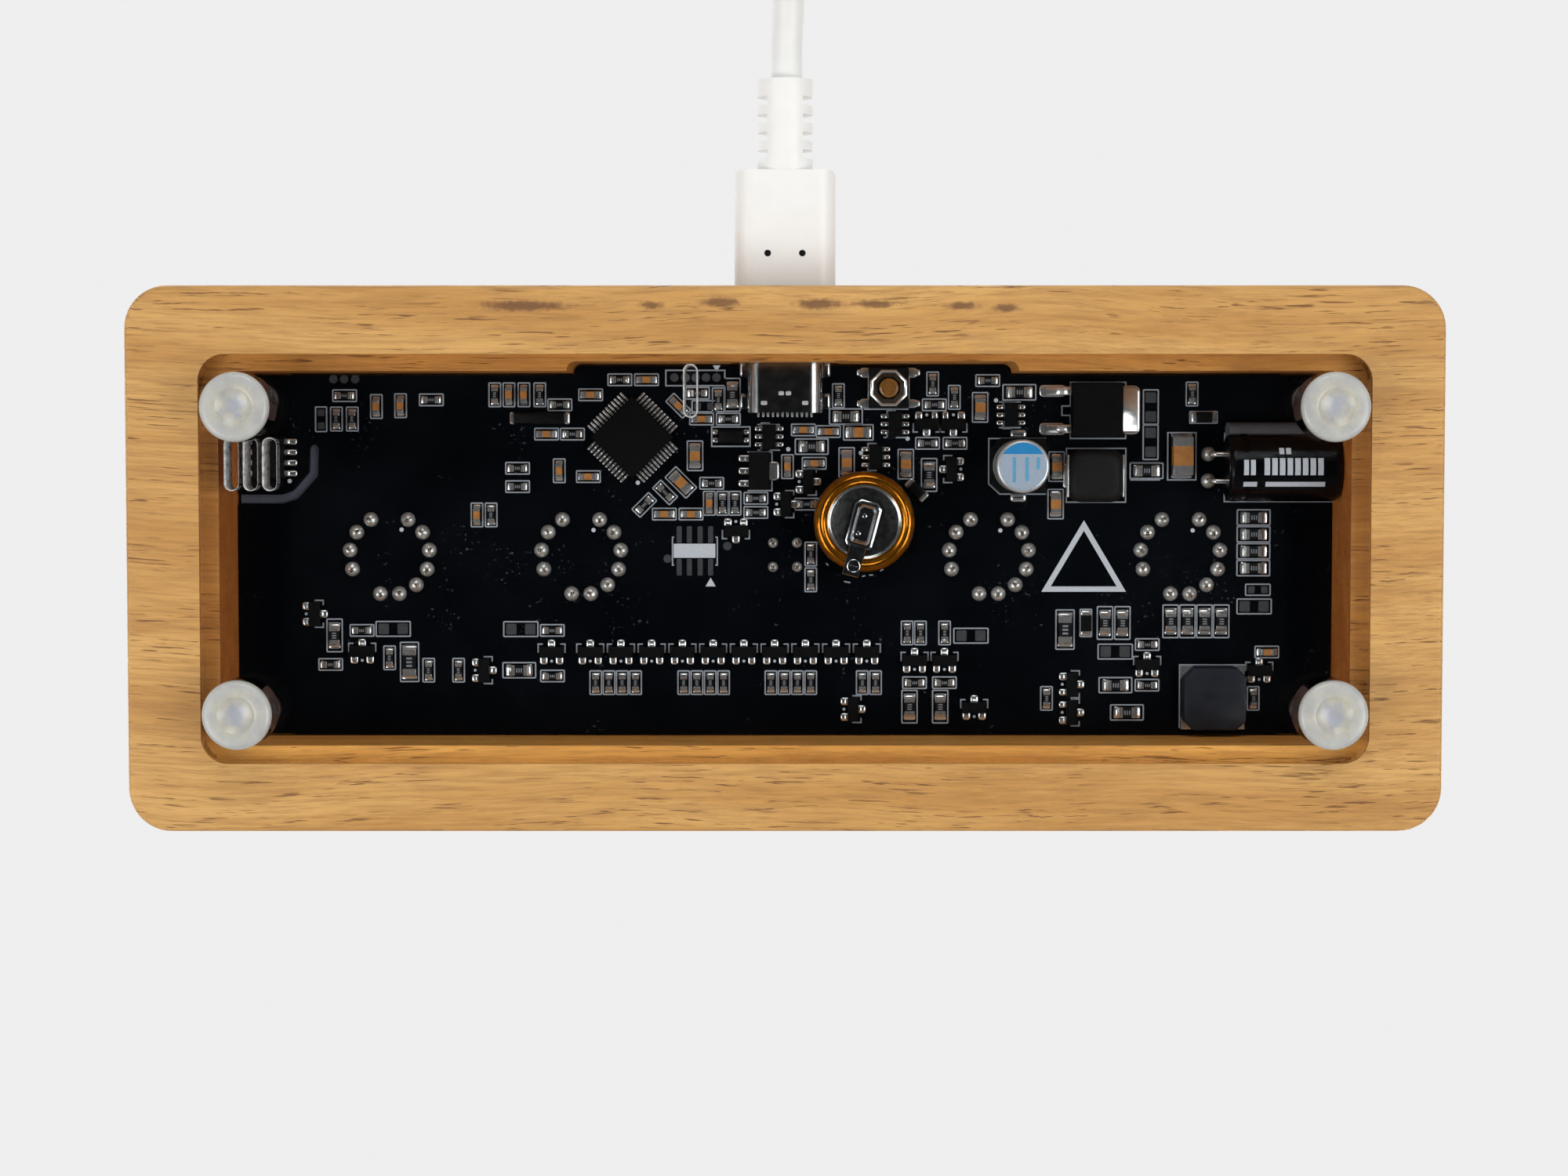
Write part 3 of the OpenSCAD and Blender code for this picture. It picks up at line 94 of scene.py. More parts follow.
class Shape:
    """A growing mesh, in millimetres, with a finish index for each face."""

    def __init__(self) -> None:
        """Starts with no points and no faces."""
        self.points: list[Array] = []
        self.loops: list[Array] = []
        self.counts: list[Array] = []
        self.slots: list[Array] = []
        self.total = 0

    def add(self, points: Array, faces: Array, finish: int = 0) -> None:
        """Adds points and faces that have the same number of corners.

        Args:
            points: (n, 3) places.
            faces: (m, k) indices into points, anticlockwise seen from outside.
            finish: index into the piece's finishes.
        """
        faces = np.asarray(faces, np.int64)
        self.points.append(np.asarray(points, float))
        self.loops.append((faces + self.total).ravel())
        self.counts.append(np.full(len(faces), faces.shape[1]))
        self.slots.append(np.full(len(faces), finish))
        self.total += len(points)

    def loft(self, rings: Array, finish: int = 0, closed: bool = False, at: Array | None = None,
             under: bool = False) -> None:
        """Skins rings of points, and repeats the solid at many places.

        Quad i, j joins ring i's points j, j+1 to those of ring i+1; rings run
        anticlockwise about the way they climb, so the quads face outward.

        Args:
            rings: (r, n, 3) points.
            finish: index into the piece's finishes.
            closed: whether the last ring joins the first, as in a torus. Otherwise one face
                closes the first ring, and one the last.
            at: (m, 4) places as x, y, z and a turn about Z in degrees.
            under: whether the solid hangs, with its height measured downwards.
        """
        r, n = rings.shape[:2]
        i = np.arange(r if closed else r - 1)[:, None] * n
        j = np.arange(n)[None, :]
        k = (j + 1) % n
        up = (i + n) % (r * n)
        quads = np.stack([i + j, i + k, up + k, up + j], -1).reshape(-1, 4)
        lids = np.array([np.arange(n)[::-1], np.arange(n) + (r - 1) * n])
        points = rings.reshape(-1, 3)
        if under:
            points = points * [1, 1, -1]
            quads, lids = quads[:, ::-1], lids[:, ::-1]
        if at is not None:
            at = np.asarray(at, float).reshape(-1, 4)
            turn = np.radians(at[:, 3])
            c, s = np.cos(turn)[:, None], np.sin(turn)[:, None]
            x, y, z = points.T
            moved = np.stack([c * x - s * y, s * x + c * y, np.broadcast_to(z, (len(at), len(z)))], -1)
            step = np.arange(len(at))[:, None, None] * len(points)
            quads = (quads[None] + step).reshape(-1, 4)
            lids = (lids[None] + step).reshape(-1, n)
            points = (moved + at[:, None, :3]).reshape(-1, 3)
        base = self.total
        self.add(points, quads, finish)
        if not closed:
            self.loops.append((lids + base).ravel())
            self.counts.append(np.full(len(lids), n))
            self.slots.append(np.full(len(lids), finish))

    def hang(self, rings: Array, at: Array, finish: int = 0, closed: bool = False) -> None:
        """Skins rings as loft does, hanging under each place."""
        self.loft(rings, finish, closed, at, under=True)

    def stand(self) -> None:
        """Stands the whole mesh up: its plan (x, y) becomes (x, z), and its height goes to the front."""
        self.points = [np.column_stack([p[:, 0], -p[:, 2], p[:, 1]]) for p in self.points]

    def swing(self, turn: float, place: Point = (0.0, 0.0)) -> None:
        """Turns the whole mesh about Z by so many degrees, and then moves its origin to a place."""
        c, s = math.cos(math.radians(turn)), math.sin(math.radians(turn))
        self.points = [p @ [[c, s, 0], [-s, c, 0], [0, 0, 1]] + [*place, 0] for p in self.points]

    def join(self, other: Shape, shift: Place) -> None:
        """Adds a copy of another mesh.

        Args:
            other: the mesh.
            shift: how far the copy is moved.
        """
        self.loops += [loops + self.total for loops in other.loops]
        self.points += [points + shift for points in other.points]
        self.counts += other.counts
        self.slots += other.slots
        self.total += other.total

    def build(self, name: str, finishes: Sequence[bpy.types.Material], body: Body, slot: str,
              sharp: float = 35.0) -> Object:
        """Makes the Blender object.

        Args:
            name: the piece's name.
            finishes: materials, in the order of the face indices.
            body: the CAD body that it rides.
            slot: not used.
            sharp: edges that turn more than this many degrees stay sharp.

        Returns:
            The object, at the origin, with its mesh in place.
        """
        mesh = bpy.data.meshes.new(name)
        points = np.vstack(self.points) * MM
        loops = np.concatenate(self.loops).astype(np.int32)
        counts = np.concatenate(self.counts)
        starts = np.concatenate([[0], np.cumsum(counts)[:-1]]).astype(np.int32)
        mesh.vertices.add(len(points))
        mesh.vertices.foreach_set("co", points.astype(np.float32).ravel())
        mesh.loops.add(len(loops))
        mesh.loops.foreach_set("vertex_index", loops)
        mesh.polygons.add(len(counts))
        mesh.polygons.foreach_set("loop_start", starts)
        for material in finishes:
            mesh.materials.append(material)
        mesh.polygons.foreach_set("material_index", np.concatenate(self.slots).astype(np.int32))
        mesh.polygons.foreach_set("use_smooth", np.ones(len(counts), bool))
        mesh.update(calc_edges=True)
        mesh.set_sharp_from_angle(angle=math.radians(sharp))
        piece = placed(name, mesh)
        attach(piece, body.value)
        return piece


def outline(width: float, depth: float, radius: float, steps: int = 1) -> Array:
    """A rectangle with round corners about the origin, anticlockwise.

    Corner q's points are centre + radius (cos a, sin a), with a from 90 q to 90 (q + 1).

    Args:
        width: its size along X.
        depth: its size along Y.
        radius: the corners' radius.
        steps: how many edges round each corner.

    Returns:
        (4 (steps + 1), 2) points.
    """
    a = np.radians(90 * np.arange(4)[:, None] + np.linspace(0, 90, steps + 1)[None, :])
    sx = np.array([1, -1, -1, 1])[:, None]
    sy = np.array([1, 1, -1, -1])[:, None]
    x = sx * (width / 2 - radius) + radius * np.cos(a)
    y = sy * (depth / 2 - radius) + radius * np.sin(a)
    return np.stack([x, y], -1).reshape(-1, 2)


def lift(ring: Array, z: float) -> Array:
    """A flat ring raised to height z, as (n, 3) points."""
    return np.column_stack([ring, np.full(len(ring), z)])


def block(width: float, depth: float, low: float, high: float, radius: float = 0.08,
          ease: float = 0.05, steps: int = 1, shift: Point = (0.0, 0.0)) -> Array:
    """Rings of a block with round upright corners and eased edges at its top and bottom.

    Args:
        width: its size along X.
        depth: its size along Y.
        low: the height of its lower face.
        high: the height of its upper face.
        radius: the upright corners' radius.
        ease: the chamfer of the edges.
        steps: how many edges round each corner.
        shift: where its middle stands in plan.

    Returns:
        (4, n, 3) points.
    """
    full = outline(width, depth, radius, steps)
    less = outline(width - 2 * ease, depth - 2 * ease, max(radius - ease, 0.01), steps)
    rings = np.stack([lift(less, low), lift(full, low + ease), lift(full, high - ease), lift(less, high)])
    return rings + [*shift, 0]


def moulded(width: float, depth: float, radius: float, levels: Sequence[Point], steps: int = 1,
            ease: float = 0.0) -> Array:
    """Rings of a moulded block whose outline draws in on its way up.

    At a level (i, z) the outline lies at height z, is drawn in by i on each side, and has corners
    of radius - ease i.

    Args:
        width: its size along X, where i is 0.
        depth: its size along Y.
        radius: the upright corners' radius.
        levels: (i, z) pairs that climb.
        steps: how many edges round each corner.
        ease: how much of i the corners lose.

    Returns:
        (r, n, 3) points.
    """
    return np.stack([lift(outline(width - 2 * i, depth - 2 * i, radius - ease * i, steps), z)
                     for i, z in levels])


def turned(profile: Sequence[Point], sides: int = 24) -> Array:
    """Rings of a solid of revolution: point k is (r cos a, r sin a, z), with a = 360 k / sides.

    Args:
        profile: (radius, height) pairs that climb.
        sides: the number of points around.

    Returns:
        (r, sides, 3) points.
    """
    a = np.linspace(0, 2 * math.pi, sides, endpoint=False)
    p = np.asarray(profile, float)
    return np.stack([p[:, :1] * np.cos(a), p[:, :1] * np.sin(a), np.repeat(p[:, 1:], sides, 1)], -1)


def strip(outer: Array, inner: Array, low: float, high: float) -> Array:
    """Rings of a flat band between two outlines, for a closed loft."""
    return np.stack([lift(outer, low), lift(outer, high), lift(inner, high), lift(inner, low)])


def ribbon(points: Sequence[Point], width: float, high: float, closed: bool = False) -> Array:
    """Rings of a flat printed line along points of a plan, mitred at its corners.

    At a corner between unit headings h and k the mitre is n (width / 2) / (n . left of h), with
    n the unit sum of their left sides.

    Args:
        points: the corners.
        width: the line's width.
        high: its thickness above 0.
        closed: whether the last point joins the first.

    Returns:
        (n, 4, 3) points, for a loft along the line.
    """
    p = np.asarray(points, float)
    step = np.roll(p, -1, 0) - p
    if not closed:
        step[-1] = step[-2]
    step /= np.linalg.norm(step, axis=1, keepdims=True)
    left = np.column_stack([-step[:, 1], step[:, 0]])
    before = np.roll(left, 1, 0)
    if not closed:
        before[0] = left[0]
    n = left + before
    n /= np.linalg.norm(n, axis=1, keepdims=True)
    n *= width / 2 / (n * left).sum(1, keepdims=True)
    return np.stack([lift(p + n, 0.0), lift(p + n, high), lift(p - n, high), lift(p - n, 0.0)], 1)


def arc(radius: float, start: float, end: float, steps: int) -> Array:
    """Points of a plan on an arc about the origin, from one angle to another in degrees."""
    a = np.radians(np.linspace(start, end, steps + 1))
    return np.column_stack([radius * np.cos(a), radius * np.sin(a)])


def pillow(length: float, width: float, high: float, shift: Point = (0.0, 0.0)) -> Array:
    """Rings of a pad of solder that swells to a soft top.

    At a share h of its height its outline leans in by 0.9 high (1 - sqrt(1 - h h)) and by 0.12 h^6
    of its smaller side.

    Args:
        length: its size along X.
        width: its size along Y.
        high: its height.
        shift: where its middle lies in plan.

    Returns:
        (6, n, 3) points.
    """
    rings = []
    least = min(length, width)
    for share in (0.0, 0.35, 0.65, 0.85, 0.97, 1.0):
        lean = 0.9 * high * (1 - math.sqrt(1 - share * share)) + 0.12 * least * share ** 6
        ring = outline(length - 2 * lean, width - 2 * lean, least * 0.3 - lean * 0.3, 3)
        rings.append(lift(ring, share * high))
    return np.stack(rings) + [*shift, 0]


# -------- reading places from the part


@dataclass(frozen=True)
class Footprint:
    """Where one solid of a CAD node lies: its plan, turn and height, in millimetres and degrees."""

    x: float
    y: float
    turn: float
    length: float
    width: float
    low: float
    high: float


def footprints(node: Object) -> list[Footprint]:
    """Finds the separate solids of a node and the plan of each.

    Corners at one place count as one. Labels spread along faces until nothing changes,
    and each solid is measured in the turn of 0 or 45 degrees that boxes it tightest.

    Args:
        node: a CAD node's object.

    Returns:
        One footprint for each solid, with its length at least its width.
    """
    mesh = node.data
    co = np.empty(len(mesh.vertices) * 3, np.float32)
    mesh.vertices.foreach_get("co", co)
    co = co.reshape(-1, 3).astype(float) / MM
    keys = np.round(co * KEYS_PER_MM).astype(np.int64)
    _, same = np.unique(keys, axis=0, return_inverse=True)
    same = same.ravel()
    edges = np.empty(len(mesh.edges) * 2, np.int32)
    mesh.edges.foreach_get("vertices", edges)
    a, b = same[edges.reshape(-1, 2)].T
    label = np.arange(same.max() + 1)
    while True:
        old = label.copy()
        low = np.minimum(label[a], label[b])
        np.minimum.at(label, a, low)
        np.minimum.at(label, b, low)
        label = label[label]
        if np.array_equal(old, label):
            break
    owner = label[same]
    return [tightest(co[owner == k]) for k in np.unique(owner)]


def tightest(p: Array) -> Footprint:
    """The footprint of one solid's points, in the turn that boxes it tightest.

    Args:
        p: (n, 3) points.

    Returns:
        The footprint, turned by 0 or 45 degrees, or by 90 more where it is longer that way.
    """
    boxes = []
    for turn in (0.0, 45.0):
        c, s = math.cos(math.radians(turn)), math.sin(math.radians(turn))
        q = np.column_stack([c * p[:, 0] + s * p[:, 1], -s * p[:, 0] + c * p[:, 1]])
        boxes.append((turn, c, s, q.min(0), q.max(0)))
    square, slanting = (float(np.prod(high - low)) for _, _, _, low, high in boxes)
    turn, c, s, low, high = boxes[1] if slanting < square - SAME_SIZE else boxes[0]
    x, y = (low + high) / 2
    length, width = (high - low).tolist()
    if width > length + SAME_SIZE:
        length, width, turn = width, length, turn + 90
    bottom, top = float(p[:, 2].min()), float(p[:, 2].max())
    return Footprint(c * x - s * y, s * x + c * y, turn, length, width, bottom, top)


# -------- placing things in the scene


def turned_to(ahead: Sequence[float], aside: Sequence[float], place: Sequence[float]) -> Matrix:
    """The matrix of a camera or lamp.

    Args:
        ahead: the way it looks, along its own -Z.
        aside: a way that its own X is square to, as it is to ahead.
        place: where it stands.

    Returns:
        The matrix, with X = ahead x aside and Y = X x ahead as unit vectors.
    """
    look = np.array(ahead) / np.linalg.norm(ahead)
    right = np.cross(look, aside)
    right /= np.linalg.norm(right)
    matrix = np.eye(4)
    matrix[:3] = np.column_stack([right, np.cross(right, look), -look, place])
    return Matrix(matrix.tolist())


def placed(name: str, data: Any) -> Object:
    """Puts a new object in the scene.

    Args:
        name: its name.
        data: its mesh, curve, camera or light.

    Returns:
        The object.
    """
    made = bpy.data.objects.new(name, data)
    bpy.context.scene.collection.objects.link(made)
    return made


# -------- finishes


def linear(colour: Sequence[float]) -> tuple[float, float, float, float]:
    """A display colour as a linear one.

    A share c of 255 becomes ((c + 0.055) / 1.055)^2.4, or c / 12.92 where it is dark.

    Args:
        colour: red, green and blue, of 0 to 255.

    Returns:
        Linear red, green and blue of 0 to 1, and an alpha of 1.
    """
    c = np.asarray(colour, float) / 255
    c = np.where(c <= 0.04045, c / 12.92, ((c + 0.055) / 1.055) ** 2.4)
    return float(c[0]), float(c[1]), float(c[2]), 1.0


class Graph:
    """A short way to write shader nodes."""

    def __init__(self, tree: Tree) -> None:
        """Writes into a node tree."""
        self.tree = tree

    @classmethod
    def of(cls, owner: bpy.types.ID) -> Graph:
        """Empties the node tree of a new material or world.

        Args:
            owner: the material or world.

        Returns:
            A graph that writes into the tree.
        """
        owner.use_nodes = True
        owner.node_tree.nodes.clear()
        return cls(owner.node_tree)

    def add(self, kind: str, values: dict[Any, Any] | None = None, **settings: Any) -> bpy.types.Node:
        """Adds a node.

        Args:
            kind: the node's type.
            values: a value or a link for each input that is set.
            settings: the node's own settings.

        Returns:
            The node.
        """
        node = self.tree.nodes.new(kind)
        for key, value in settings.items():
            setattr(node, key, value)
        for key, value in (values or {}).items():
            if isinstance(value, Socket):
                self.tree.links.new(value, node.inputs[key])
            else:
                node.inputs[key].default_value = value
        return node

    def math(self, operation: str, a: Any, b: Any = 0.0, c: Any = 0.0, clamp: bool = False) -> Socket:
        """A math node's result."""
        values = {0: a, 1: b, 2: c}
        return self.add("ShaderNodeMath", values, operation=operation, use_clamp=clamp).outputs[0]

    def vector(self, operation: str, a: Any, b: Any, c: Any = (0.0, 0.0, 0.0)) -> Socket:
        """A vector math node's result."""
        return self.add("ShaderNodeVectorMath", {0: a, 1: b, 2: c}, operation=operation).outputs[0]

    def mix(self, factor: Any, a: Any, b: Any, blend: str = "MIX") -> Socket:
        """A colour between a and b."""
        node = self.add("ShaderNodeMix", {0: factor, 6: a, 7: b}, data_type="RGBA", blend_type=blend)
        return node.outputs[2]

    def smooth(self, value: Any, low: float, high: float) -> Socket:
        """0 below low, 1 above high and smooth between."""
        node = self.add("ShaderNodeMapRange", {0: value, 1: low, 2: high, 3: 0.0, 4: 1.0},
                        interpolation_type="SMOOTHSTEP")
        return node.outputs[0]

    def group(self, tree: Tree, values: dict[Any, Any] | None = None) -> bpy.types.Node:
        """Adds a shared group and sets its inputs."""
        return self.add("ShaderNodeGroup", values, node_tree=tree)

    def link(self, sockets: Sequence[Socket], node: bpy.types.Node) -> None:
        """Links sockets to a node's inputs, in order."""
        for socket, entry in zip(sockets, node.inputs):
            self.tree.links.new(socket, entry)


class Effects:
    """The node groups that materials share. They output colours, masks, values and normals."""

    def __init__(self) -> None:
        """Builds each group once."""
        self.place = self._place()
        self.mottle = self._mottle()
        self.relief = self._relief()
        self.streaks = self._streaks()
        self.mark = self._mark()

    @staticmethod
    def _new(name: str, inputs: dict[str, Any], outputs: Sequence[str]) -> tuple[Graph, Any, Any]:
        """Starts a group.

        Args:
            name: the group's name.
            inputs: each input's default, a number or a vector of three.
            outputs: the outputs' names. Normal and Place are vectors, and the rest numbers.

        Returns:
            Its graph, its input node and its output node.
        """
        tree = bpy.data.node_groups.new(name, "ShaderNodeTree")
        for label, value in inputs.items():
            kind = "NodeSocketVector" if isinstance(value, tuple) else "NodeSocketFloat"
            tree.interface.new_socket(label, in_out="INPUT", socket_type=kind).default_value = value
        for label in outputs:
            kind = "NodeSocketVector" if label in ("Normal", "Place") else "NodeSocketFloat"
            tree.interface.new_socket(label, in_out="OUTPUT", socket_type=kind)
        graph = Graph(tree)
        return graph, graph.add("NodeGroupInput"), graph.add("NodeGroupOutput")

    def _place(self) -> Tree:
        """Object coordinates in millimetres, whole and as X, Y and Z.

        Returns:
            The group.
        """
        g, _, out = self._new("place_mm", {}, ["Place", "X", "Y", "Z"])
        co = g.add("ShaderNodeTexCoord").outputs["Object"]
        mm = g.add("ShaderNodeVectorMath", {0: co, 3: 1000.0}, operation="SCALE").outputs[0]
        xyz = g.add("ShaderNodeSeparateXYZ", {0: mm})
        g.link([mm, xyz.outputs[0], xyz.outputs[1], xyz.outputs[2]], out)
        return g.tree

    def _mottle(self) -> Tree:
        """Noise of Scale cells to a millimetre, from about 0 to 1.

        Returns:
            The group.
        """
        g, come, out = self._new("mottle", {"Scale": 1.0, "Detail": 3.0}, ["Value"])
        place = g.group(self.place).outputs[0]
        values = {"Vector": place, "Scale": come.outputs[0], "Detail": come.outputs[1], "Roughness": 0.55}
        noise = g.add("ShaderNodeTexNoise", values)
        g.link([g.smooth(noise.outputs[0], 0.25, 0.75)], out)
        return g.tree

    def _relief(self) -> Tree:
        """A normal bent by fine noise of Scale cells to a millimetre and Depth millimetres.

        Returns:
            The group.
        """
        g, come, out = self._new("fine_relief", {"Scale": 4.0, "Depth": 0.01}, ["Normal"])
        place = g.group(self.place).outputs[0]
        noise = g.add("ShaderNodeTexNoise", {"Vector": place, "Scale": come.outputs[0], "Detail": 2.0})
        depth = g.math("MULTIPLY", come.outputs[1], MM)
        bump = g.add("ShaderNodeBump", {"Strength": 1.0, "Distance": depth, "Height": noise.outputs[0]})
        g.link([bump.outputs[0]], out)
        return g.tree

    def _streaks(self) -> Tree:
        """Timber: a slow tone, fine fibres along X and short dark pores, each from 0 to 1.

        Returns:
            The group.
        """
        g, _, out = self._new("timber_streaks", {}, ["Tone", "Fibre", "Pores", "Height"])
        place = g.group(self.place).outputs[0]
        bend = g.add("ShaderNodeTexNoise", {"Vector": place, "Scale": 0.02, "Detail": 1.0}).outputs[1]
        bent = g.vector("MULTIPLY_ADD", bend, (0.0, 6.0, 6.0), place)

        def noise(stretch: Place, detail: float, rough: float = 0.6) -> Socket:
            """Noise of so many cells to a millimetre along each axis."""
            values = {"Vector": g.vector("MULTIPLY", bent, stretch), "Scale": 1.0, "Detail": detail,
                      "Roughness": rough}
            return g.add("ShaderNodeTexNoise", values).outputs[0]

        tone = g.smooth(noise((0.02, 0.22, 0.26), 4.0), 0.3, 0.7)
        fibre = g.smooth(noise((0.11, 2.2, 2.2), 5.0, 0.72), 0.38, 0.68)
        sparse = g.smooth(noise((0.05, 0.5, 0.5), 2.0), 0.42, 0.58)
        dash = g.smooth(noise((0.17, 3.6, 3.6), 2.0), 0.585, 0.665)
        pores = g.math("MULTIPLY", dash, g.math("MULTIPLY_ADD", sparse, 0.85, 0.15))
        height = g.math("SUBTRACT", g.math("MULTIPLY", fibre, 0.4), pores)
        g.link([tone, fibre, pores, height], out)
        return g.tree

    def _mark(self) -> Tree:
        """A soft oval mark in plan about a Centre, with Reach as its half length and half width.

        Returns:
            The group.
        """
        inputs = {"Centre": (0.0, 0.0, 0.0), "Reach": (1.0, 1.0, 1.0)}
        g, come, out = self._new("plan_mark", inputs, ["Mask"])
        place = g.group(self.place).outputs[0]
        share = g.vector("DIVIDE", g.vector("SUBTRACT", place, come.outputs[0]), come.outputs[1])
        ragged = g.add("ShaderNodeTexNoise", {"Vector": place, "Scale": 1.4, "Detail": 3.0}).outputs[0]
        far = g.add("ShaderNodeVectorMath", {0: share}, operation="LENGTH").outputs["Value"]
        edge = g.math("MULTIPLY_ADD", ragged, 0.9, g.math("SUBTRACT", far, 0.45))
        g.link([g.math("SUBTRACT", 1.0, g.smooth(edge, 0.35, 1.05))], out)
        return g.tree


@dataclass(frozen=True)
class Finish:
    """A plain finish: its colour wanders a little, and its surface has a fine relief."""

    name: str
    colour: Colour
    roughness: float = 0.5
    metallic: float = 0.0
    coat: float = 0.0
    specular: float = 0.5
    tone: float = 0.06
    cells: float = 0.8
    relief: float = 0.0
    relief_cells: float = 3.0
    surface: Surface = Surface.SOLID
    ior: float = 1.5
    pass_depth: float = 12.0
    coat_roughness: float = 0.08
    rough_wander: float = 0.3

    def build(self, effects: Effects) -> bpy.types.Material:
        """Makes the material.

        Args:
            effects: the shared node groups.

        Returns:
            The material, ready to assign.
        """
        material = bpy.data.materials.new(self.name)
        g = Graph.of(material)
        noise = g.group(effects.mottle, {"Scale": self.cells}).outputs[0]
        values: dict[str, Any] = {
            "Base Color": self.paint(g, effects, noise),
            "Roughness": self.rough(g, noise),
            "Metallic": self.metallic,
            "IOR": self.ior,
            "Specular IOR Level": self.specular,
            "Coat Weight": self.coat,
            "Coat Roughness": self.coat_roughness,
        }
        normal = self.normal(g, effects)
        if normal is not None:
            values["Normal"] = normal
        if self.surface is Surface.CLEAR:
            values["Transmission Weight"] = 1.0
        shader = g.add("ShaderNodeBsdfPrincipled", values).outputs[0]
        if self.surface is Surface.CLEAR:
            shader = self.let_through(g, shader)
        g.add("ShaderNodeOutputMaterial", {0: shader})
        return material

    def paint(self, g: Graph, effects: Effects, noise: Socket) -> Socket:
        """The base colour: the finish's own, a little darker and lighter by the noise.

        Args:
            g: the material's graph.
            effects: the shared node groups.
            noise: the finish's own slow noise.

        Returns:
            The colour's socket.
        """
        base = np.array(linear(self.colour))
        dark, light = base * (1 - self.tone), np.minimum(base * (1 + self.tone), 1.0)
        dark[3] = light[3] = 1.0
        return g.mix(noise, tuple(dark), tuple(light))

    def rough(self, g: Graph, noise: Socket) -> Socket:
        """The roughness, which wanders about its value by the noise."""
        least = (1 - self.rough_wander / 2) * self.roughness
        return g.math("MULTIPLY_ADD", noise, self.rough_wander * self.roughness, least, clamp=True)

    def normal(self, g: Graph, effects: Effects) -> Socket | None:
        """The bent normal, or None for a smooth finish."""
        if not self.relief:
            return None
        return g.group(effects.relief, {"Scale": self.relief_cells, "Depth": self.relief}).outputs[0]

    def let_through(self, g: Graph, shader: Socket) -> Socket:
        """Lets shadow, diffuse and deep rays pass, so that what stands behind the clear part is lit.

        Args:
            g: the material's graph.
            shader: the finish's own shader.

        Returns:
            The shader, mixed with a clear one for those rays.
        """
        path = g.add("ShaderNodeLightPath")
        passing = g.math("MAXIMUM", path.outputs["Is Shadow Ray"], path.outputs["Is Diffuse Ray"])
        deep = g.math("GREATER_THAN", path.outputs["Ray Depth"], self.pass_depth - 0.5)
        passing = g.math("MAXIMUM", passing, deep)
        clear = g.add("ShaderNodeBsdfTransparent", {0: CLEAR}).outputs[0]
        return g.add("ShaderNodeMixShader", {0: passing, 1: shader, 2: clear}).outputs[0]


@dataclass(frozen=True)
class Timber(Finish):
    """Pale timber with fibres along X, dark pores and knots, with painted shade on the ledge and walls
    inside the cavity and painted light at its front.
    """

    knots: tuple[tuple[float, float, float, float], ...] = ()
    streak: Colour = (150, 104, 56)
    pore: Colour = (112, 72, 34)
    pale: Colour = (212, 164, 94)
    knot: Colour = (104, 66, 38)
    inside: Place = (67.72, 23.72, 30.0)
    rim_z: float = 6.02
    ledge_z: Point = (8.9, 9.6)
    corner_y: Point = (20.6, 22.4)
    relief_depth: float = 0.00008
    relief_strength: float = 0.6
    fibre_share: float = 0.5
    pore_share: float = 0.85
    knot_share: float = 0.8
    knot_z: float = 5.0
    knot_high: float = 14.0
    # These tints are painted shade and light inside the cavity: the ledge, walls and rear are darkened and
    # the front is lightened.
    ledge_shade_tint: Place = (0.98, 0.76, 0.48)
    wall_shade_tint: Place = (0.98, 0.58, 0.36)
    front_light_tint: Place = (1.6, 1.45, 1.05)
    rear_shade_tint: Place = (1.08, 0.84, 0.50)

    def paint(self, g: Graph, effects: Effects, noise: Socket) -> Socket:
        """Tone, fibres and pores, with painted shade on the ledge and walls inside and painted light at the
        front, with knots over all.

        Args:
            g: the material's graph.
            effects: the shared node groups.
            noise: the finish's own slow noise.

        Returns:
            The colour's socket.
        """
        s = g.group(effects.streaks)
        colour = g.mix(s.outputs["Tone"], linear(self.colour), linear(self.pale))
        colour = g.mix(g.math("MULTIPLY", s.outputs["Fibre"], self.fibre_share), colour, linear(self.streak))
        colour = g.mix(g.math("MULTIPLY", s.outputs["Pores"], self.pore_share), colour, linear(self.pore))
        at = g.group(effects.place)
        side = g.math("SUBTRACT", g.math("ABSOLUTE", at.outputs["X"]), self.inside[0])
        end = g.math("SUBTRACT", g.math("ABSOLUTE", at.outputs["Y"]), self.inside[1])
        deep = g.math("MULTIPLY", g.math("LESS_THAN", at.outputs["Z"], self.inside[2]),
                      g.math("GREATER_THAN", at.outputs["Z"], self.rim_z))
        within = g.math("MULTIPLY", g.math("LESS_THAN", g.math("MAXIMUM", side, end), 0.0), deep)
        # Painted shade on the ledge and walls, a lighter painted shade at the rear and painted light at the
        # front, multiplied into the timber inside the cavity.
        painted_light = g.mix(g.smooth(at.outputs["Z"], *self.ledge_z), (*self.ledge_shade_tint, 1.0),
                     (*self.wall_shade_tint, 1.0))
        painted_light = g.mix(g.smooth(at.outputs["Y"], *self.corner_y), painted_light, (*self.rear_shade_tint, 1.0))
        front = g.smooth(at.outputs["Y"], -self.corner_y[0], -self.corner_y[1])
        painted_light = g.mix(front, painted_light, (*self.front_light_tint, 1.0))
        colour = g.mix(within, colour, g.mix(1.0, colour, painted_light, "MULTIPLY"))
        for x, y, reach, width in self.knots:
            values = {"Centre": (x, y, self.knot_z), "Reach": (reach, width, self.knot_high)}
            mark = g.math("MULTIPLY", g.group(effects.mark, values).outputs[0], self.knot_share)
            colour = g.mix(mark, colour, linear(self.knot))
        return colour

    def normal(self, g: Graph, effects: Effects) -> Socket | None:
        """Fibres and pores as relief.

        Args:
            g: the material's graph.
            effects: the shared node groups.

        Returns:
            The bent normal's socket.
        """
        height = g.group(effects.streaks).outputs["Height"]
        values = {"Strength": self.relief_strength, "Distance": self.relief_depth, "Height": height}
        return g.add("ShaderNodeBump", values).outputs[0]


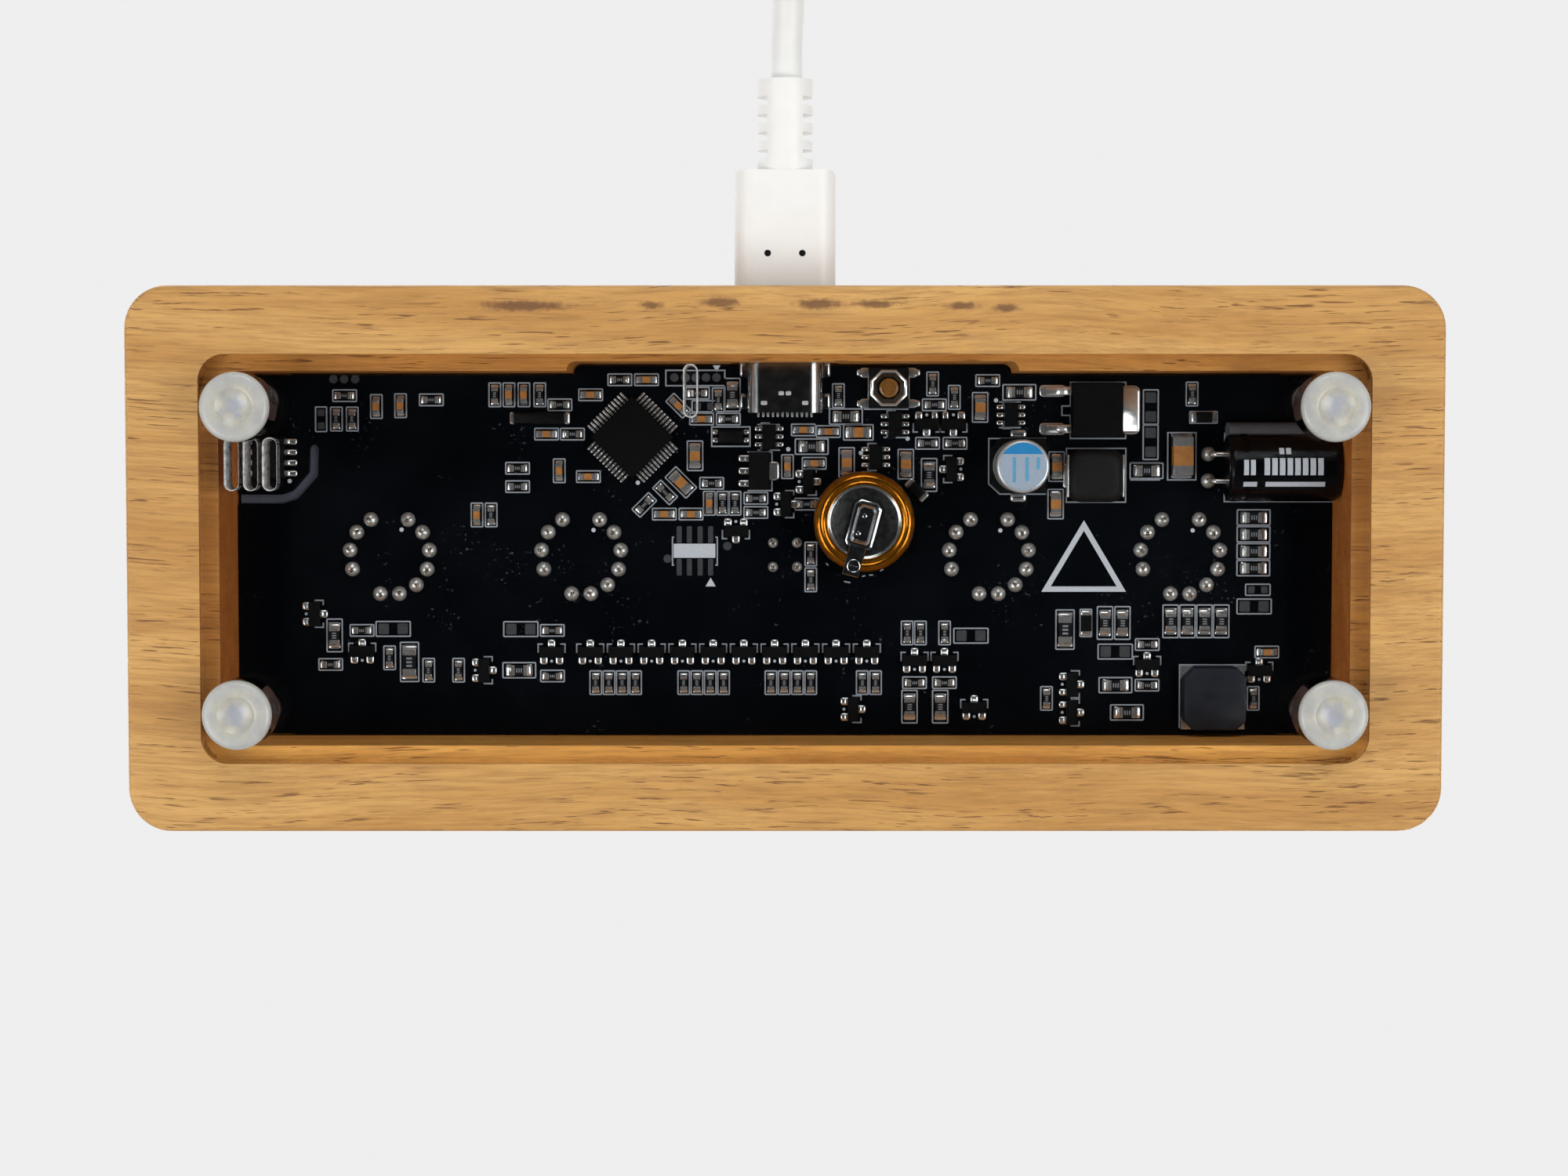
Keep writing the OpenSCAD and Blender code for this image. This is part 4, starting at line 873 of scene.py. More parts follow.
@dataclass(frozen=True)
class Milky(Finish):
    """The clouded face of a foot, in rings about each foot: bluish, then cream, then white."""

    centre: Point = (62.55, 17.55)
    heart: Colour = (166, 169, 178)
    cream: Colour = (192, 187, 168)
    cloud: Colour = (150, 152, 156)
    ragged: float = 1.3
    heart_edge: Point = (0.4, 2.0)
    cream_edge: Point = (1.9, 3.3)
    cloudy: float = 0.62
    cloud_cells: float = 0.45

    def paint(self, g: Graph, effects: Effects, noise: Socket) -> Socket:
        """The rings, from the distance to the nearest foot's centre, made ragged by the noise.

        Args:
            g: the material's graph.
            effects: the shared node groups.
            noise: the finish's own slow noise.

        Returns:
            The colour's socket.
        """
        at = g.group(effects.place)
        x = g.math("SUBTRACT", g.math("ABSOLUTE", at.outputs["X"]), self.centre[0])
        y = g.math("SUBTRACT", g.math("ABSOLUTE", at.outputs["Y"]), self.centre[1])
        far = g.math("SQRT", g.math("ADD", g.math("MULTIPLY", x, x), g.math("MULTIPLY", y, y)))
        far = g.math("ADD", far, g.math("MULTIPLY_ADD", noise, self.ragged, -self.ragged / 2))
        colour = g.mix(g.smooth(far, *self.heart_edge), linear(self.heart), linear(self.cream))
        colour = g.mix(g.smooth(far, *self.cream_edge), colour, linear(self.colour))
        cloud = g.group(effects.mottle, {"Scale": self.cloud_cells, "Detail": 4.0}).outputs[0]
        return g.mix(g.math("MULTIPLY", cloud, self.cloudy), colour, linear(self.cloud))


@dataclass(frozen=True)
class SolderMask(Finish):
    """The board's nearly black lacquer, with rare pale specks of dust and flux."""

    dust: Colour = (60, 64, 72)

    def paint(self, g: Graph, effects: Effects, noise: Socket) -> Socket:
        """The lacquer, and specks where a fine noise peaks within a slow one.

        Args:
            g: the material's graph.
            effects: the shared node groups.
            noise: the finish's own slow noise.

        Returns:
            The colour's socket.
        """
        colour = super().paint(g, effects, noise)
        fine = g.group(effects.mottle, {"Scale": 2.2, "Detail": 1.0}).outputs[0]
        slow = g.group(effects.mottle, {"Scale": 0.17, "Detail": 2.0}).outputs[0]
        specks = g.math("MULTIPLY", g.smooth(fine, 0.93, 1.0), g.smooth(slow, 0.66, 0.92))
        return g.mix(specks, colour, linear(self.dust))


@dataclass
class Paints:
    """All finishes, built once and fetched by name."""

    effects: Effects
    finishes: dict[str, Finish]
    built: dict[str, bpy.types.Material] = field(default_factory=dict)

    def __getitem__(self, name: str) -> bpy.types.Material:
        """The material of a finish."""
        if name not in self.built:
            self.built[name] = self.finishes[name].build(self.effects)
        return self.built[name]

    def dress(self, node: Object, name: str) -> None:
        """Puts a finish in every material slot of a CAD node."""
        for i in range(len(node.data.materials)):
            node.data.materials[i] = self[name]


KNOTS = ((30.0, 29.2, 6.5, 0.8), (15.4, 29.3, 1.8, 0.6), (7.4, 29.6, 3.0, 0.7), (-4.1, 29.4, 3.6, 0.8),
         (-10.4, 29.4, 3.2, 0.6), (-20.4, 29.2, 2.6, 0.6), (-25.3, 29.0, 2.2, 0.6))

FINISHES: tuple[Finish, ...] = (
    Timber("oiled_timber", (192, 140, 72), roughness=0.48, knots=KNOTS),
    Finish("clear_plate", (246, 250, 252), roughness=0.02, tone=0.01, surface=Surface.CLEAR, ior=1.3,
           pass_depth=2.0),
    # The pale, partly metallic lining of the slot walls: the frosted edge's own colour with a painted
    # highlight.
    Finish("cut_edge_and_glint", (206, 206, 204), roughness=0.3, metallic=0.35, tone=0.35, cells=1.5, relief=0.04,
           relief_cells=1.5),
    Finish("slot_grey", (88, 91, 102), roughness=0.8, specular=0.1, tone=0.08),
    Finish("clear_rubber", (214, 219, 228), roughness=0.08, tone=0.02, surface=Surface.CLEAR, ior=1.02,
           coat=0.16, pass_depth=3.0),
    Milky("clouded_face", (184, 184, 178), roughness=0.3, specular=0.6, tone=0.13, cells=1.1),
    SolderMask("solder_mask", (1, 4, 9), roughness=0.34, specular=0.1, tone=0.2, cells=0.12, relief=0.002,
           relief_cells=1.2),
    Finish("silk_print", (150, 154, 160), roughness=0.7, specular=0.2, tone=0.1, cells=4.0),
    Finish("bright_print", (196, 200, 206), roughness=0.7, specular=0.2, tone=0.06, cells=4.0),
    Finish("bare_pad", (66, 67, 70), roughness=0.5, metallic=0.3, tone=0.2, cells=3.0, relief=0.004),
    Finish("bright_steel", (206, 208, 210), roughness=0.16, metallic=1.0, tone=0.05),
    Finish("bronze_steel", (74, 66, 56), roughness=0.34, metallic=0.7, tone=0.12, cells=1.2),
    Finish("satin_steel", (186, 187, 188), roughness=0.34, metallic=1.0, tone=0.08, cells=2.0,
           relief=0.003),
    Finish("black_plastic", (9, 9, 11), roughness=0.45, specular=0.2, tone=0.15, relief=0.004),
    Finish("chip_epoxy", (5, 5, 6), roughness=0.5, specular=0.14, tone=0.18, cells=2.5, relief=0.008,
           relief_cells=7.0),
    Finish("amber_plastic", (132, 88, 36), roughness=0.3, coat=0.4, tone=0.12),
    Finish("tinned_lead", (232, 232, 230), roughness=0.2, metallic=0.86, tone=0.04, cells=2.0, relief=0.008,
           relief_cells=1.6),
    Finish("solder", (206, 206, 202), roughness=0.3, metallic=0.72, tone=0.14, cells=1.4, relief=0.07,
           relief_cells=1.5),
    Finish("amber_sleeve", (170, 104, 20), roughness=0.16, metallic=0.85, tone=0.3, cells=0.7),
    Finish("buzzer_plastic", (32, 36, 44), roughness=0.42, specular=0.3, tone=0.18, cells=0.6,
           relief=0.006),
    # Pale matte marks that are painted highlights on the USB socket's shell.
    Finish("painted_glint", (214, 214, 210), roughness=0.5, tone=0.08, cells=3.0),
    Finish("can_nickel", (168, 168, 166), roughness=0.2, metallic=1.0, tone=0.05, cells=1.4),
    Finish("can_aluminium", (214, 216, 218), roughness=0.3, metallic=0.6, tone=0.04),
    Finish("can_top", (170, 184, 200), roughness=0.5, metallic=0.2, tone=0.06, cells=5.0),
    Finish("can_blue", (20, 134, 196), roughness=0.5, tone=0.04),
    Finish("can_mark", (96, 164, 200), roughness=0.5, tone=0.12, cells=6.0),
    Finish("black_sleeve", (7, 7, 9), roughness=0.2, specular=0.16, coat=0.08, tone=0.2),
    Finish("sleeve_print", (190, 194, 200), roughness=0.4, tone=0.05, cells=3.0),
    Finish("silicone", (95, 100, 108), roughness=0.4, tone=0.1, relief=0.03, relief_cells=1.0),
    Finish("ferrite", (12, 12, 14), roughness=0.6, specular=0.3, tone=0.2, cells=2.0, relief=0.02,
           relief_cells=4.0),
    Finish("resistor_top", (10, 10, 12), roughness=0.4, specular=0.3, tone=0.2, cells=3.0),
    Finish("chip_mark", (128, 131, 136), roughness=0.6, specular=0.2, tone=0.15, cells=6.0),
    Finish("capacitor_body", (172, 112, 48), roughness=0.42, tone=0.14, cells=1.6),
    Finish("tube_glass", (250, 252, 252), roughness=0.0, tone=0.004, surface=Surface.CLEAR, ior=1.47),
    Finish("cathode", (150, 146, 140), roughness=0.36, metallic=0.9, tone=0.12, cells=1.5),
    Finish("anode", (118, 118, 120), roughness=0.4, metallic=0.9, tone=0.15, cells=1.5),
    Finish("ceramic", (232, 229, 220), roughness=0.5, tone=0.03),
    Finish("tube_wire", (150, 138, 122), roughness=0.3, metallic=1.0, tone=0.12, cells=1.4),
    Finish("white_plastic", (236, 236, 234), roughness=0.36, tone=0.012, cells=0.4),
    Finish("white_cable", (232, 232, 230), roughness=0.45, tone=0.02, cells=0.4, relief=0.01,
           relief_cells=1.2),
    Finish("tie_fabric", (32, 32, 35), roughness=0.9, tone=0.25, cells=3.0, relief=0.08, relief_cells=2.6),
)

CAD_FINISHES: dict[str, str] = {
    "wooden_case": "oiled_timber", "base_plate": "clear_plate", "feet": "clear_rubber",
    "circuit_board": "solder_mask", "board_screws": "satin_steel", "usb_socket_shell": "bright_steel",
    "usb_socket_tongue": "black_plastic", "reset_switch_base": "black_plastic",
    "reset_switch_cover": "satin_steel", "reset_button": "amber_plastic",
    "microcontroller": "chip_epoxy", "microcontroller_leads": "tinned_lead",
    "memory_cell_can": "can_nickel", "memory_cell_sleeve": "amber_sleeve", "memory_cell_tab": "satin_steel",
    "filter_capacitor_can": "can_aluminium", "filter_capacitor_base": "black_plastic",
    "high_voltage_capacitor": "black_sleeve", "high_voltage_capacitor_leads": "tinned_lead",
    "capacitor_glue": "silicone", "power_inductor": "ferrite", "inductor_terminals": "tinned_lead",
    "buzzer": "black_plastic", "buzzer_terminals": "tinned_lead", "power_transistor": "chip_epoxy",
    "power_transistor_tab": "tinned_lead", "small_chips": "chip_epoxy", "chip_leads": "tinned_lead",
    "chip_resistors": "resistor_top", "chip_capacitors": "capacitor_body", "diodes": "chip_epoxy",
    "crystals": "satin_steel", "solder_joints": "solder", "tube_leads": "tube_wire",
    "tube_spacers": "ceramic", "colon_lamps": "tube_glass", "colon_electrodes": "cathode",
    "usb_plug_shell": "bright_steel", "usb_plug_grip": "white_plastic", "usb_cable": "white_cable",
    "cable_coil": "white_cable", "cable_tie": "tie_fabric", "charger_plug_shell": "bright_steel",
    "charger_plug_grip": "white_plastic",
} | {f"tube_{i}_{part}": finish for i in range(1, 5) for part, finish in
     (("glass", "tube_glass"), ("cathodes", "cathode"), ("anode", "anode"), ("supports", "ceramic"))}


# -------- the studio


@dataclass(frozen=True)
class Lamp:
    """A soft box: its place, its size and power, and the point that it faces."""

    name: str
    place: Place
    size: float
    power: float
    aim: Place = (0.0, 0.0, 0.03)


@dataclass(frozen=True)
class Studio:
    """Camera, floor, world and lamps."""

    camera_place: Place = (0.00012, 0.01392, -0.347)
    camera_heading: Place = (0.0, -0.0487, 0.9988)
    lens: float = 70.2
    floor_half: float = 3.0
    floor_z: float = -0.0001
    pale: Colour = (238, 238, 238)
    seen_level: float = 0.86
    soft_level: float = 0.42
    nadir_level: float = 0.003
    low_level: float = 0.20
    high_level: float = 0.85
    low_edge: Point = (-0.93, -0.70)
    high_edge: Point = (-0.45, -0.05)
    sensor: float = 36.0
    near: float = 0.01
    lamps: tuple[Lamp, ...] = (
        Lamp("key_above", (-0.5, -0.55, 0.75), 0.5, 4.2),
        Lamp("fill_above", (0.65, -0.2, 0.6), 0.5, 2.6),
        Lamp("rear_above", (0.1, 0.75, 0.6), 0.5, 2.2),
        Lamp("left_below", (0.5, -0.2, -0.55), 0.4, 2.4),
        Lamp("right_below", (-0.5, -0.1, -0.55), 0.4, 2.4),
        Lamp("rear_below", (0.0, 0.55, -0.5), 0.35, 1.4),
    )

    def add_camera(self) -> None:
        """Makes the camera, under the clock and looking up, with the rear at the top."""
        data = bpy.data.cameras.new("camera")
        data.lens = self.lens
        data.sensor_width = self.sensor
        data.clip_start = self.near
        camera = placed("camera", data)
        camera.matrix_world = turned_to(self.camera_heading, (0.0, 1.0, 0.0), self.camera_place)
        bpy.context.scene.camera = camera

    def add_lamps(self) -> None:
        """Makes the soft boxes, each turned towards its aim."""
        for lamp in self.lamps:
            data = bpy.data.lights.new(lamp.name, "AREA")
            data.shape = "SQUARE"
            data.size = lamp.size
            data.energy = lamp.power
            light = placed(lamp.name, data)
            light.matrix_world = turned_to(np.subtract(lamp.aim, lamp.place), (0.0, 0.0, 1.0), lamp.place)
            light.visible_camera = False

    def add_floor(self) -> None:
        """Makes the pale floor. It shows from above alone, so that the clock is seen from below."""
        material = bpy.data.materials.new("pale_floor")
        g = Graph.of(material)
        path = g.add("ShaderNodeLightPath")
        behind = g.add("ShaderNodeNewGeometry").outputs["Backfacing"]
        shown = g.math("MULTIPLY", path.outputs["Is Camera Ray"], g.math("SUBTRACT", 1.0, behind))
        pale = g.add("ShaderNodeBsdfDiffuse", {0: linear(self.pale)}).outputs[0]
        clear = g.add("ShaderNodeBsdfTransparent").outputs[0]
        shader = g.add("ShaderNodeMixShader", {0: shown, 1: clear, 2: pale}).outputs[0]
        g.add("ShaderNodeOutputMaterial", {0: shader})
        mesh = bpy.data.meshes.new("floor")
        h, z = self.floor_half, self.floor_z
        mesh.from_pydata([(-h, -h, z), (h, -h, z), (h, h, z), (-h, h, z)], [], [(0, 1, 2, 3)])
        mesh.materials.append(material)
        placed("floor", mesh)

    def add_world(self) -> None:
        """Makes the world: pale to the eye and through glass, and dark straight below in metal."""
        world = bpy.data.worlds.new("studio")
        bpy.context.scene.world = world
        g = Graph.of(world)
        path = g.add("ShaderNodeLightPath")
        way = g.add("ShaderNodeTexCoord").outputs["Generated"]
        height = g.add("ShaderNodeSeparateXYZ", {0: way}).outputs[2]
        seen = g.math("MAXIMUM", path.outputs["Is Camera Ray"], path.outputs["Is Transmission Ray"])
        low = g.math("MULTIPLY_ADD", g.smooth(height, *self.low_edge), self.low_level, self.nadir_level)
        mirrored = g.math("MULTIPLY_ADD", g.smooth(height, *self.high_edge), self.high_level, low)
        level = g.math("MULTIPLY_ADD", path.outputs["Is Glossy Ray"],
                       g.math("SUBTRACT", mirrored, self.soft_level), self.soft_level)
        level = g.math("MULTIPLY_ADD", seen, g.math("SUBTRACT", self.seen_level, level), level)
        background = g.add("ShaderNodeBackground", {0: (1.0, 1.0, 1.0, 1.0), 1: level}).outputs[0]
        g.add("ShaderNodeOutputWorld", {0: background})

    def build(self) -> None:
        """Makes everything but the camera, and sets the view transform."""
        self.add_floor()
        self.add_world()
        self.add_lamps()
        bpy.context.scene.view_settings.view_transform = "Standard"


# -------- what the sub-assemblies share


@dataclass(frozen=True)
class BoardLayout:
    """Levels of the board's underside, its printed lines, and the grid of its drawing."""

    z: float = 21.0
    print_t: float = 0.02
    line: float = 0.17
    pad_t: float = 0.03
    steps: float = 10.6
    origin: Point = (1000.8, 706.5)

    def px(self, x: float, y: float) -> Point:
        """A place on the plan, from the drawing grid's steps."""
        return -(x - self.origin[0]) / self.steps, -(y - self.origin[1]) / self.steps

    def spots(self, places: Sequence[Point], turn: float = 0.0) -> Array:
        """Places of the drawing grid as rows of x, y, z and turn."""
        return np.array([[*self.px(*p), self.z, turn] for p in places], float)

    def spot(self, x: float = 0.0, y: float = 0.0, turn: float = 0.0) -> Array:
        """One place under the board as a row of x, y, z and turn."""
        return np.array([[x, y, self.z, turn]], float)

    def under(self, prints: Sequence[Footprint]) -> Array:
        """The footprints' places under the board as rows of x, y, z and turn."""
        return np.array([[f.x, f.y, self.z, f.turn] for f in prints], float)

    def box(self, silk: Shape, length: float, width: float, at: Array) -> None:
        """Adds a printed box to the print.

        Args:
            silk: the shape that gathers the print.
            length: the box's outer length.
            width: its outer width.
            at: places as rows of x, y, z and turn.
        """
        inner = outline(length - 2 * self.line, width - 2 * self.line, 0.02)
        silk.hang(strip(outline(length, width, 0.12), inner, 0.0, self.print_t), at, closed=True)


BOARD = BoardLayout()


@dataclass(frozen=True)
class Bench:
    """What every sub-assembly is built with: finishes, CAD nodes and the board's growing print."""

    paints: Paints
    nodes: dict[str, Object]
    silk: Shape = field(default_factory=Shape)


@dataclass(frozen=True)
class SubAssembly:
    """A group of pieces that is made in one go."""

    bench: Bench

    def build(self) -> None:
        """Makes the group's pieces."""
        raise NotImplementedError

    def finish(self, shape: Shape, name: str, finishes: Sequence[str], slot: str, sharp: float = 35.0,
               replaces: Sequence[str] = (), body: Body = Body.CLOCK) -> None:
        """Makes a shape a piece of the clock.

        Args:
            shape: the piece's mesh.
            name: its name.
            finishes: finishes' names, in the order of the face indices.
            slot: a name that is passed on to the shape's build.
            sharp: edges that turn more than this many degrees stay sharp.
            replaces: CAD nodes that it stands for.
            body: the CAD body that it rides.
        """
        piece = shape.build(name, [self.bench.paints[f] for f in finishes], body, slot, sharp)
        if replaces:
            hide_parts(*replaces)
        LOG.info("%s: %d faces", name, len(piece.data.polygons))


# -------- the USB lead


@dataclass(frozen=True)
class UsbLead(SubAssembly):
    """The white lead: down behind the clock, into a two-layer coil and out to a charger plug."""

    diameter: float = 3.7
    start_y: float = 56.55
    coil_x: float = 27.5
    coil_y: float = 104.0
    outer_r: float = 28.3
    inner_r: float = 15.2
    end_r: float = 26.5
    top_z: float = 5.6
    low_z: float = 1.9
    turn_step: float = 9.0
    way_in: tuple[Place, ...] = (
        (-0.2, 0.0, 19.4), (-0.2, 4.0, 19.4), (-0.4, 8.0, 19.0), (-0.5, 12.0, 17.9), (-0.6, 16.0, 15.6),
        (-0.6, 19.0, 13.3), (-0.7, 22.0, 10.9), (-0.7, 26.0, 8.3), (-0.8, 30.0, 6.5), (-0.8, 34.0, 5.8),
        (-0.8, 40.0, 5.6), (-0.8, 46.0, 5.6))
    way_out: tuple[Place, ...] = (
        (18.0, 77.5, 1.9), (10.0, 77.5, 2.2), (3.0, 77.5, 3.3), (-2.0, 77.5, 3.9), (-6.0, 77.5, 3.9))

    def path(self) -> Array:
        """The cable's centreline.

        The coil is coil centre + r (cos a, sin a): r shrinks from outer_r to inner_r over three
        and a half turns on top, and grows to end_r over three turns below.

        Returns:
            (n, 3) points in millimetres.
        """
        def spiral(a0: float, a1: float, r0: float, r1: float, z0: float, z1: float) -> Array:
            """Points of a spiral.

            Args:
                a0: its first angle, in degrees.
                a1: its last.
                r0: its first radius.
                r1: its last.
                z0: its first height.
                z1: its last.

            Returns:
                (n, 3) points.
            """
            n = max(int(abs(a1 - a0) / self.turn_step), 2)
            s = np.linspace(0, 1, n + 1)
            a, r = np.radians(a0 + (a1 - a0) * s), r0 + (r1 - r0) * s
            z = z0 + (z1 - z0) * (s * s * (3 - 2 * s))
            return np.column_stack([self.coil_x + r * np.cos(a), self.coil_y + r * np.sin(a), z])

        down = np.array(self.way_in) + [0, self.start_y, 0]
        top = spiral(180, -1080, self.outer_r, self.inner_r, self.top_z, self.top_z)
        drop = spiral(0, -90, self.inner_r, self.inner_r, self.top_z, self.low_z)
        low = spiral(-90, -1170, self.inner_r, self.end_r, self.low_z, self.low_z)
        return np.vstack([down, top, drop[1:], low[1:], np.array(self.way_out)])

    def build(self) -> None:
        """Makes the cable, as a curve with a round section."""
        points = self.path() * MM
        curve = bpy.data.curves.new("lead_cable", "CURVE")
        curve.dimensions = "3D"
        curve.bevel_depth = self.diameter / 2 * MM
        curve.bevel_resolution = 5
        curve.use_fill_caps = True
        spline = curve.splines.new("POLY")
        spline.points.add(len(points) - 1)
        corners = np.column_stack([points, np.ones(len(points))])
        spline.points.foreach_set("co", corners.astype(np.float32).ravel())
        spline.use_smooth = True
        curve.materials.append(self.bench.paints["white_cable"])
        cable = placed("lead_cable", curve)
        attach(cable, Body.LEAD.value)
        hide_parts("usb_cable", "cable_coil")
        tuple(points[0])
        self.diameter * MM


@dataclass(frozen=True)
class CableTie(SubAssembly):
    """The soft strap around the coil, with round corners and a lapped end."""

    place: Point = (27.5, 104.0)
    turn: float = 45.0
    inner: float = 12.25
    outer: float = 30.7
    high: float = 7.95
    width: float = 8.0
    thick: float = 0.5
    corner: float = 2.2
    soft_edge: float = 0.25
    drawn_in: float = 0.995

    def build(self) -> None:
        """Draws the strap on edge, then stands it up and turns it across the coil."""
        long = self.outer - self.inner
        middle = ((self.inner + self.outer) / 2, self.high / 2, 0.0)
        strap = Shape()
        half = self.width / 2
        around = outline(long, self.high, self.corner, 6)
        inside = outline(long - 2 * self.thick, self.high - 2 * self.thick, self.corner - self.thick, 6)
        less = around * self.drawn_in
        rings = [lift(around, self.soft_edge - half), lift(around, half - self.soft_edge), lift(less, half),
                 lift(inside, half), lift(inside, -half), lift(less, -half)]
        strap.loft(np.stack(rings) + middle, closed=True)
        strap.stand()
        strap.swing(self.turn, self.place)
        self.finish(strap, "strap", ["tie_fabric"], "tie_fabric", 60, ["cable_tie"], Body.LEAD)


# -------- small parts on the board


@dataclass(frozen=True)
class TwoTerminal(SubAssembly):
    """A family of two-terminal chips: terminals, fillets, marks and the printed box around each."""

    node: str
    name: str
    body_finish: str
    slot: str
    share: float = 0.25
    sizes: tuple[Place, ...] = ((1.6, 0.42, 1.4), (2.0, 0.62, 2.1), (3.2, 0.5, 1.7))
    margin: float = 0.75
    boxed_up_to: float = 3.5
    marks: int = 0
    mark_pitch: float = 0.14
    mark_size: Point = (0.075, 0.42)

    def build(self) -> None:
        """Draws each chip of the node with its ends, and its box in the print.

        The row of sizes that is nearest in length gives the fillets' reach and the box's margin.
        A chip's marks are bars across its face, sized and set apart as shares of its length and
        width.
        """
        shape = Shape()
        families: dict[Place, list[Footprint]] = {}
        for f in footprints(self.bench.nodes[self.node]):
            key = (round(f.length, 1), round(f.width, 2), round(f.high - f.low, 2))
            families.setdefault(key, []).append(f)
        for (length, width, thick), prints in families.items():
            at = BOARD.under(prints)
            end = self.share * length
            _, reach, margin = min(self.sizes, key=lambda size: abs(size[0] - length))
            middle = block(length - 2 * end + 0.04, width - 0.03, 0.04, thick - 0.03, 0.03, 0.02)
            shape.hang(middle, at)
            for s in (-1, 1):
                mid = s * (length - end) / 2
                shape.hang(block(end, width, 0.02, thick, 0.1, 0.07, 2, shift=(mid, 0)), at, 1)
                shape.hang(self.fillet(s, length, width, thick, reach), at, 1)
            for i in range(self.marks):
                x = (i - (self.marks - 1) / 2) * self.mark_pitch * length
                long, wide = self.mark_size[0] * length, self.mark_size[1] * width
                bar = block(long, wide, thick - 0.05, thick - 0.015, 0.02, 0.005, shift=(x, 0))
                shape.hang(bar, at, 2)
            if length < self.boxed_up_to:
                BOARD.box(self.bench.silk, length + margin, width + self.margin, at)
        self.finish(shape, self.name, [self.body_finish, "tinned_lead", "chip_mark"], self.slot,
                    replaces=[self.node])

    def fillet(self, side: int, length: float, width: float, thick: float, reach: float) -> Array:
        """Rings of a solder fillet beside a terminal, across the chip.

        Its hollow slope passes 1, 0.97, 0.55, 0.25, 0.08 of the reach at 0, 0.06 mm, and 0.16,
        0.34, 0.7 of the height, and its ends are lower and shorter than its middle.

        Args:
            side: 1 or -1, the end of the chip.
            length: the chip's length.
            width: its width.
            thick: its height.
            reach: how far the solder runs out.

        Returns:
            (6, 7, 3) points.
        """
        out = np.array([-0.05, 1.0, 0.97, 0.55, 0.25, 0.08, -0.05]) * reach
        up = np.array([0.01, 0.0, 0.06, 0.16 * thick, 0.34 * thick, 0.7 * thick, 0.8 * thick])
        ring = np.column_stack([side * (length / 2 + out), np.zeros(7), up])[:: side * -1]
        rings = []
        shares = ((-0.52, 0.55), (-0.46, 0.9), (-0.2, 1.0), (0.2, 1.0), (0.46, 0.9), (0.52, 0.55))
        for share, size in shares:
            x = side * length / 2 + (ring[:, 0] - side * length / 2) * (0.5 + 0.5 * size)
            rings.append(np.column_stack([x, np.full(len(x), share * (width + 0.06)), ring[:, 2] * size]))
        return np.stack(rings)


@dataclass(frozen=True)
class SolderDomes(SubAssembly):
    """The solder around each wire that comes through the board, and the wire's bent tip."""

    big: tuple[Point, ...] = (
        (0.88, 0.0), (0.90, 0.06), (0.88, 0.22), (0.80, 0.42), (0.66, 0.62), (0.48, 0.78), (0.28, 0.87),
        (0.1, 0.9))
    small: float = 0.68
    large_from: float = 1.5
    wire: tuple[Point, ...] = ((0.2, 0.0), (0.21, 0.24), (0.16, 0.3), (0.05, 0.31))
    wire_z: float = 0.78
    lean: float = 35.0

    def build(self) -> None:
        """Draws a dome at each of the node's cones, with its wire's tip lying to a side."""
        shape = Shape()
        cones = footprints(self.bench.nodes["solder_joints"])
        for large in (True, False):
            at = BOARD.under([f for f in cones if (f.length > self.large_from) == large])
            at[:, 3] = (np.arange(len(at)) * GOLDEN_TURN) % 360
            size = 1.0 if large else self.small
            shape.hang(turned([(r * size, h * size) for r, h in self.big], 20), at)
            tip = turned(self.wire, 10)
            c, s = math.cos(math.radians(self.lean)), math.sin(math.radians(self.lean))
            tip = tip @ [[c, 0, -s], [0, 1, 0], [s, 0, c]] + [0.1, 0, self.wire_z * size]
            shape.hang(tip, at, 1)
        self.finish(shape, "solder_domes", ["solder", "tube_wire"], "solder", 50, ["solder_joints"])


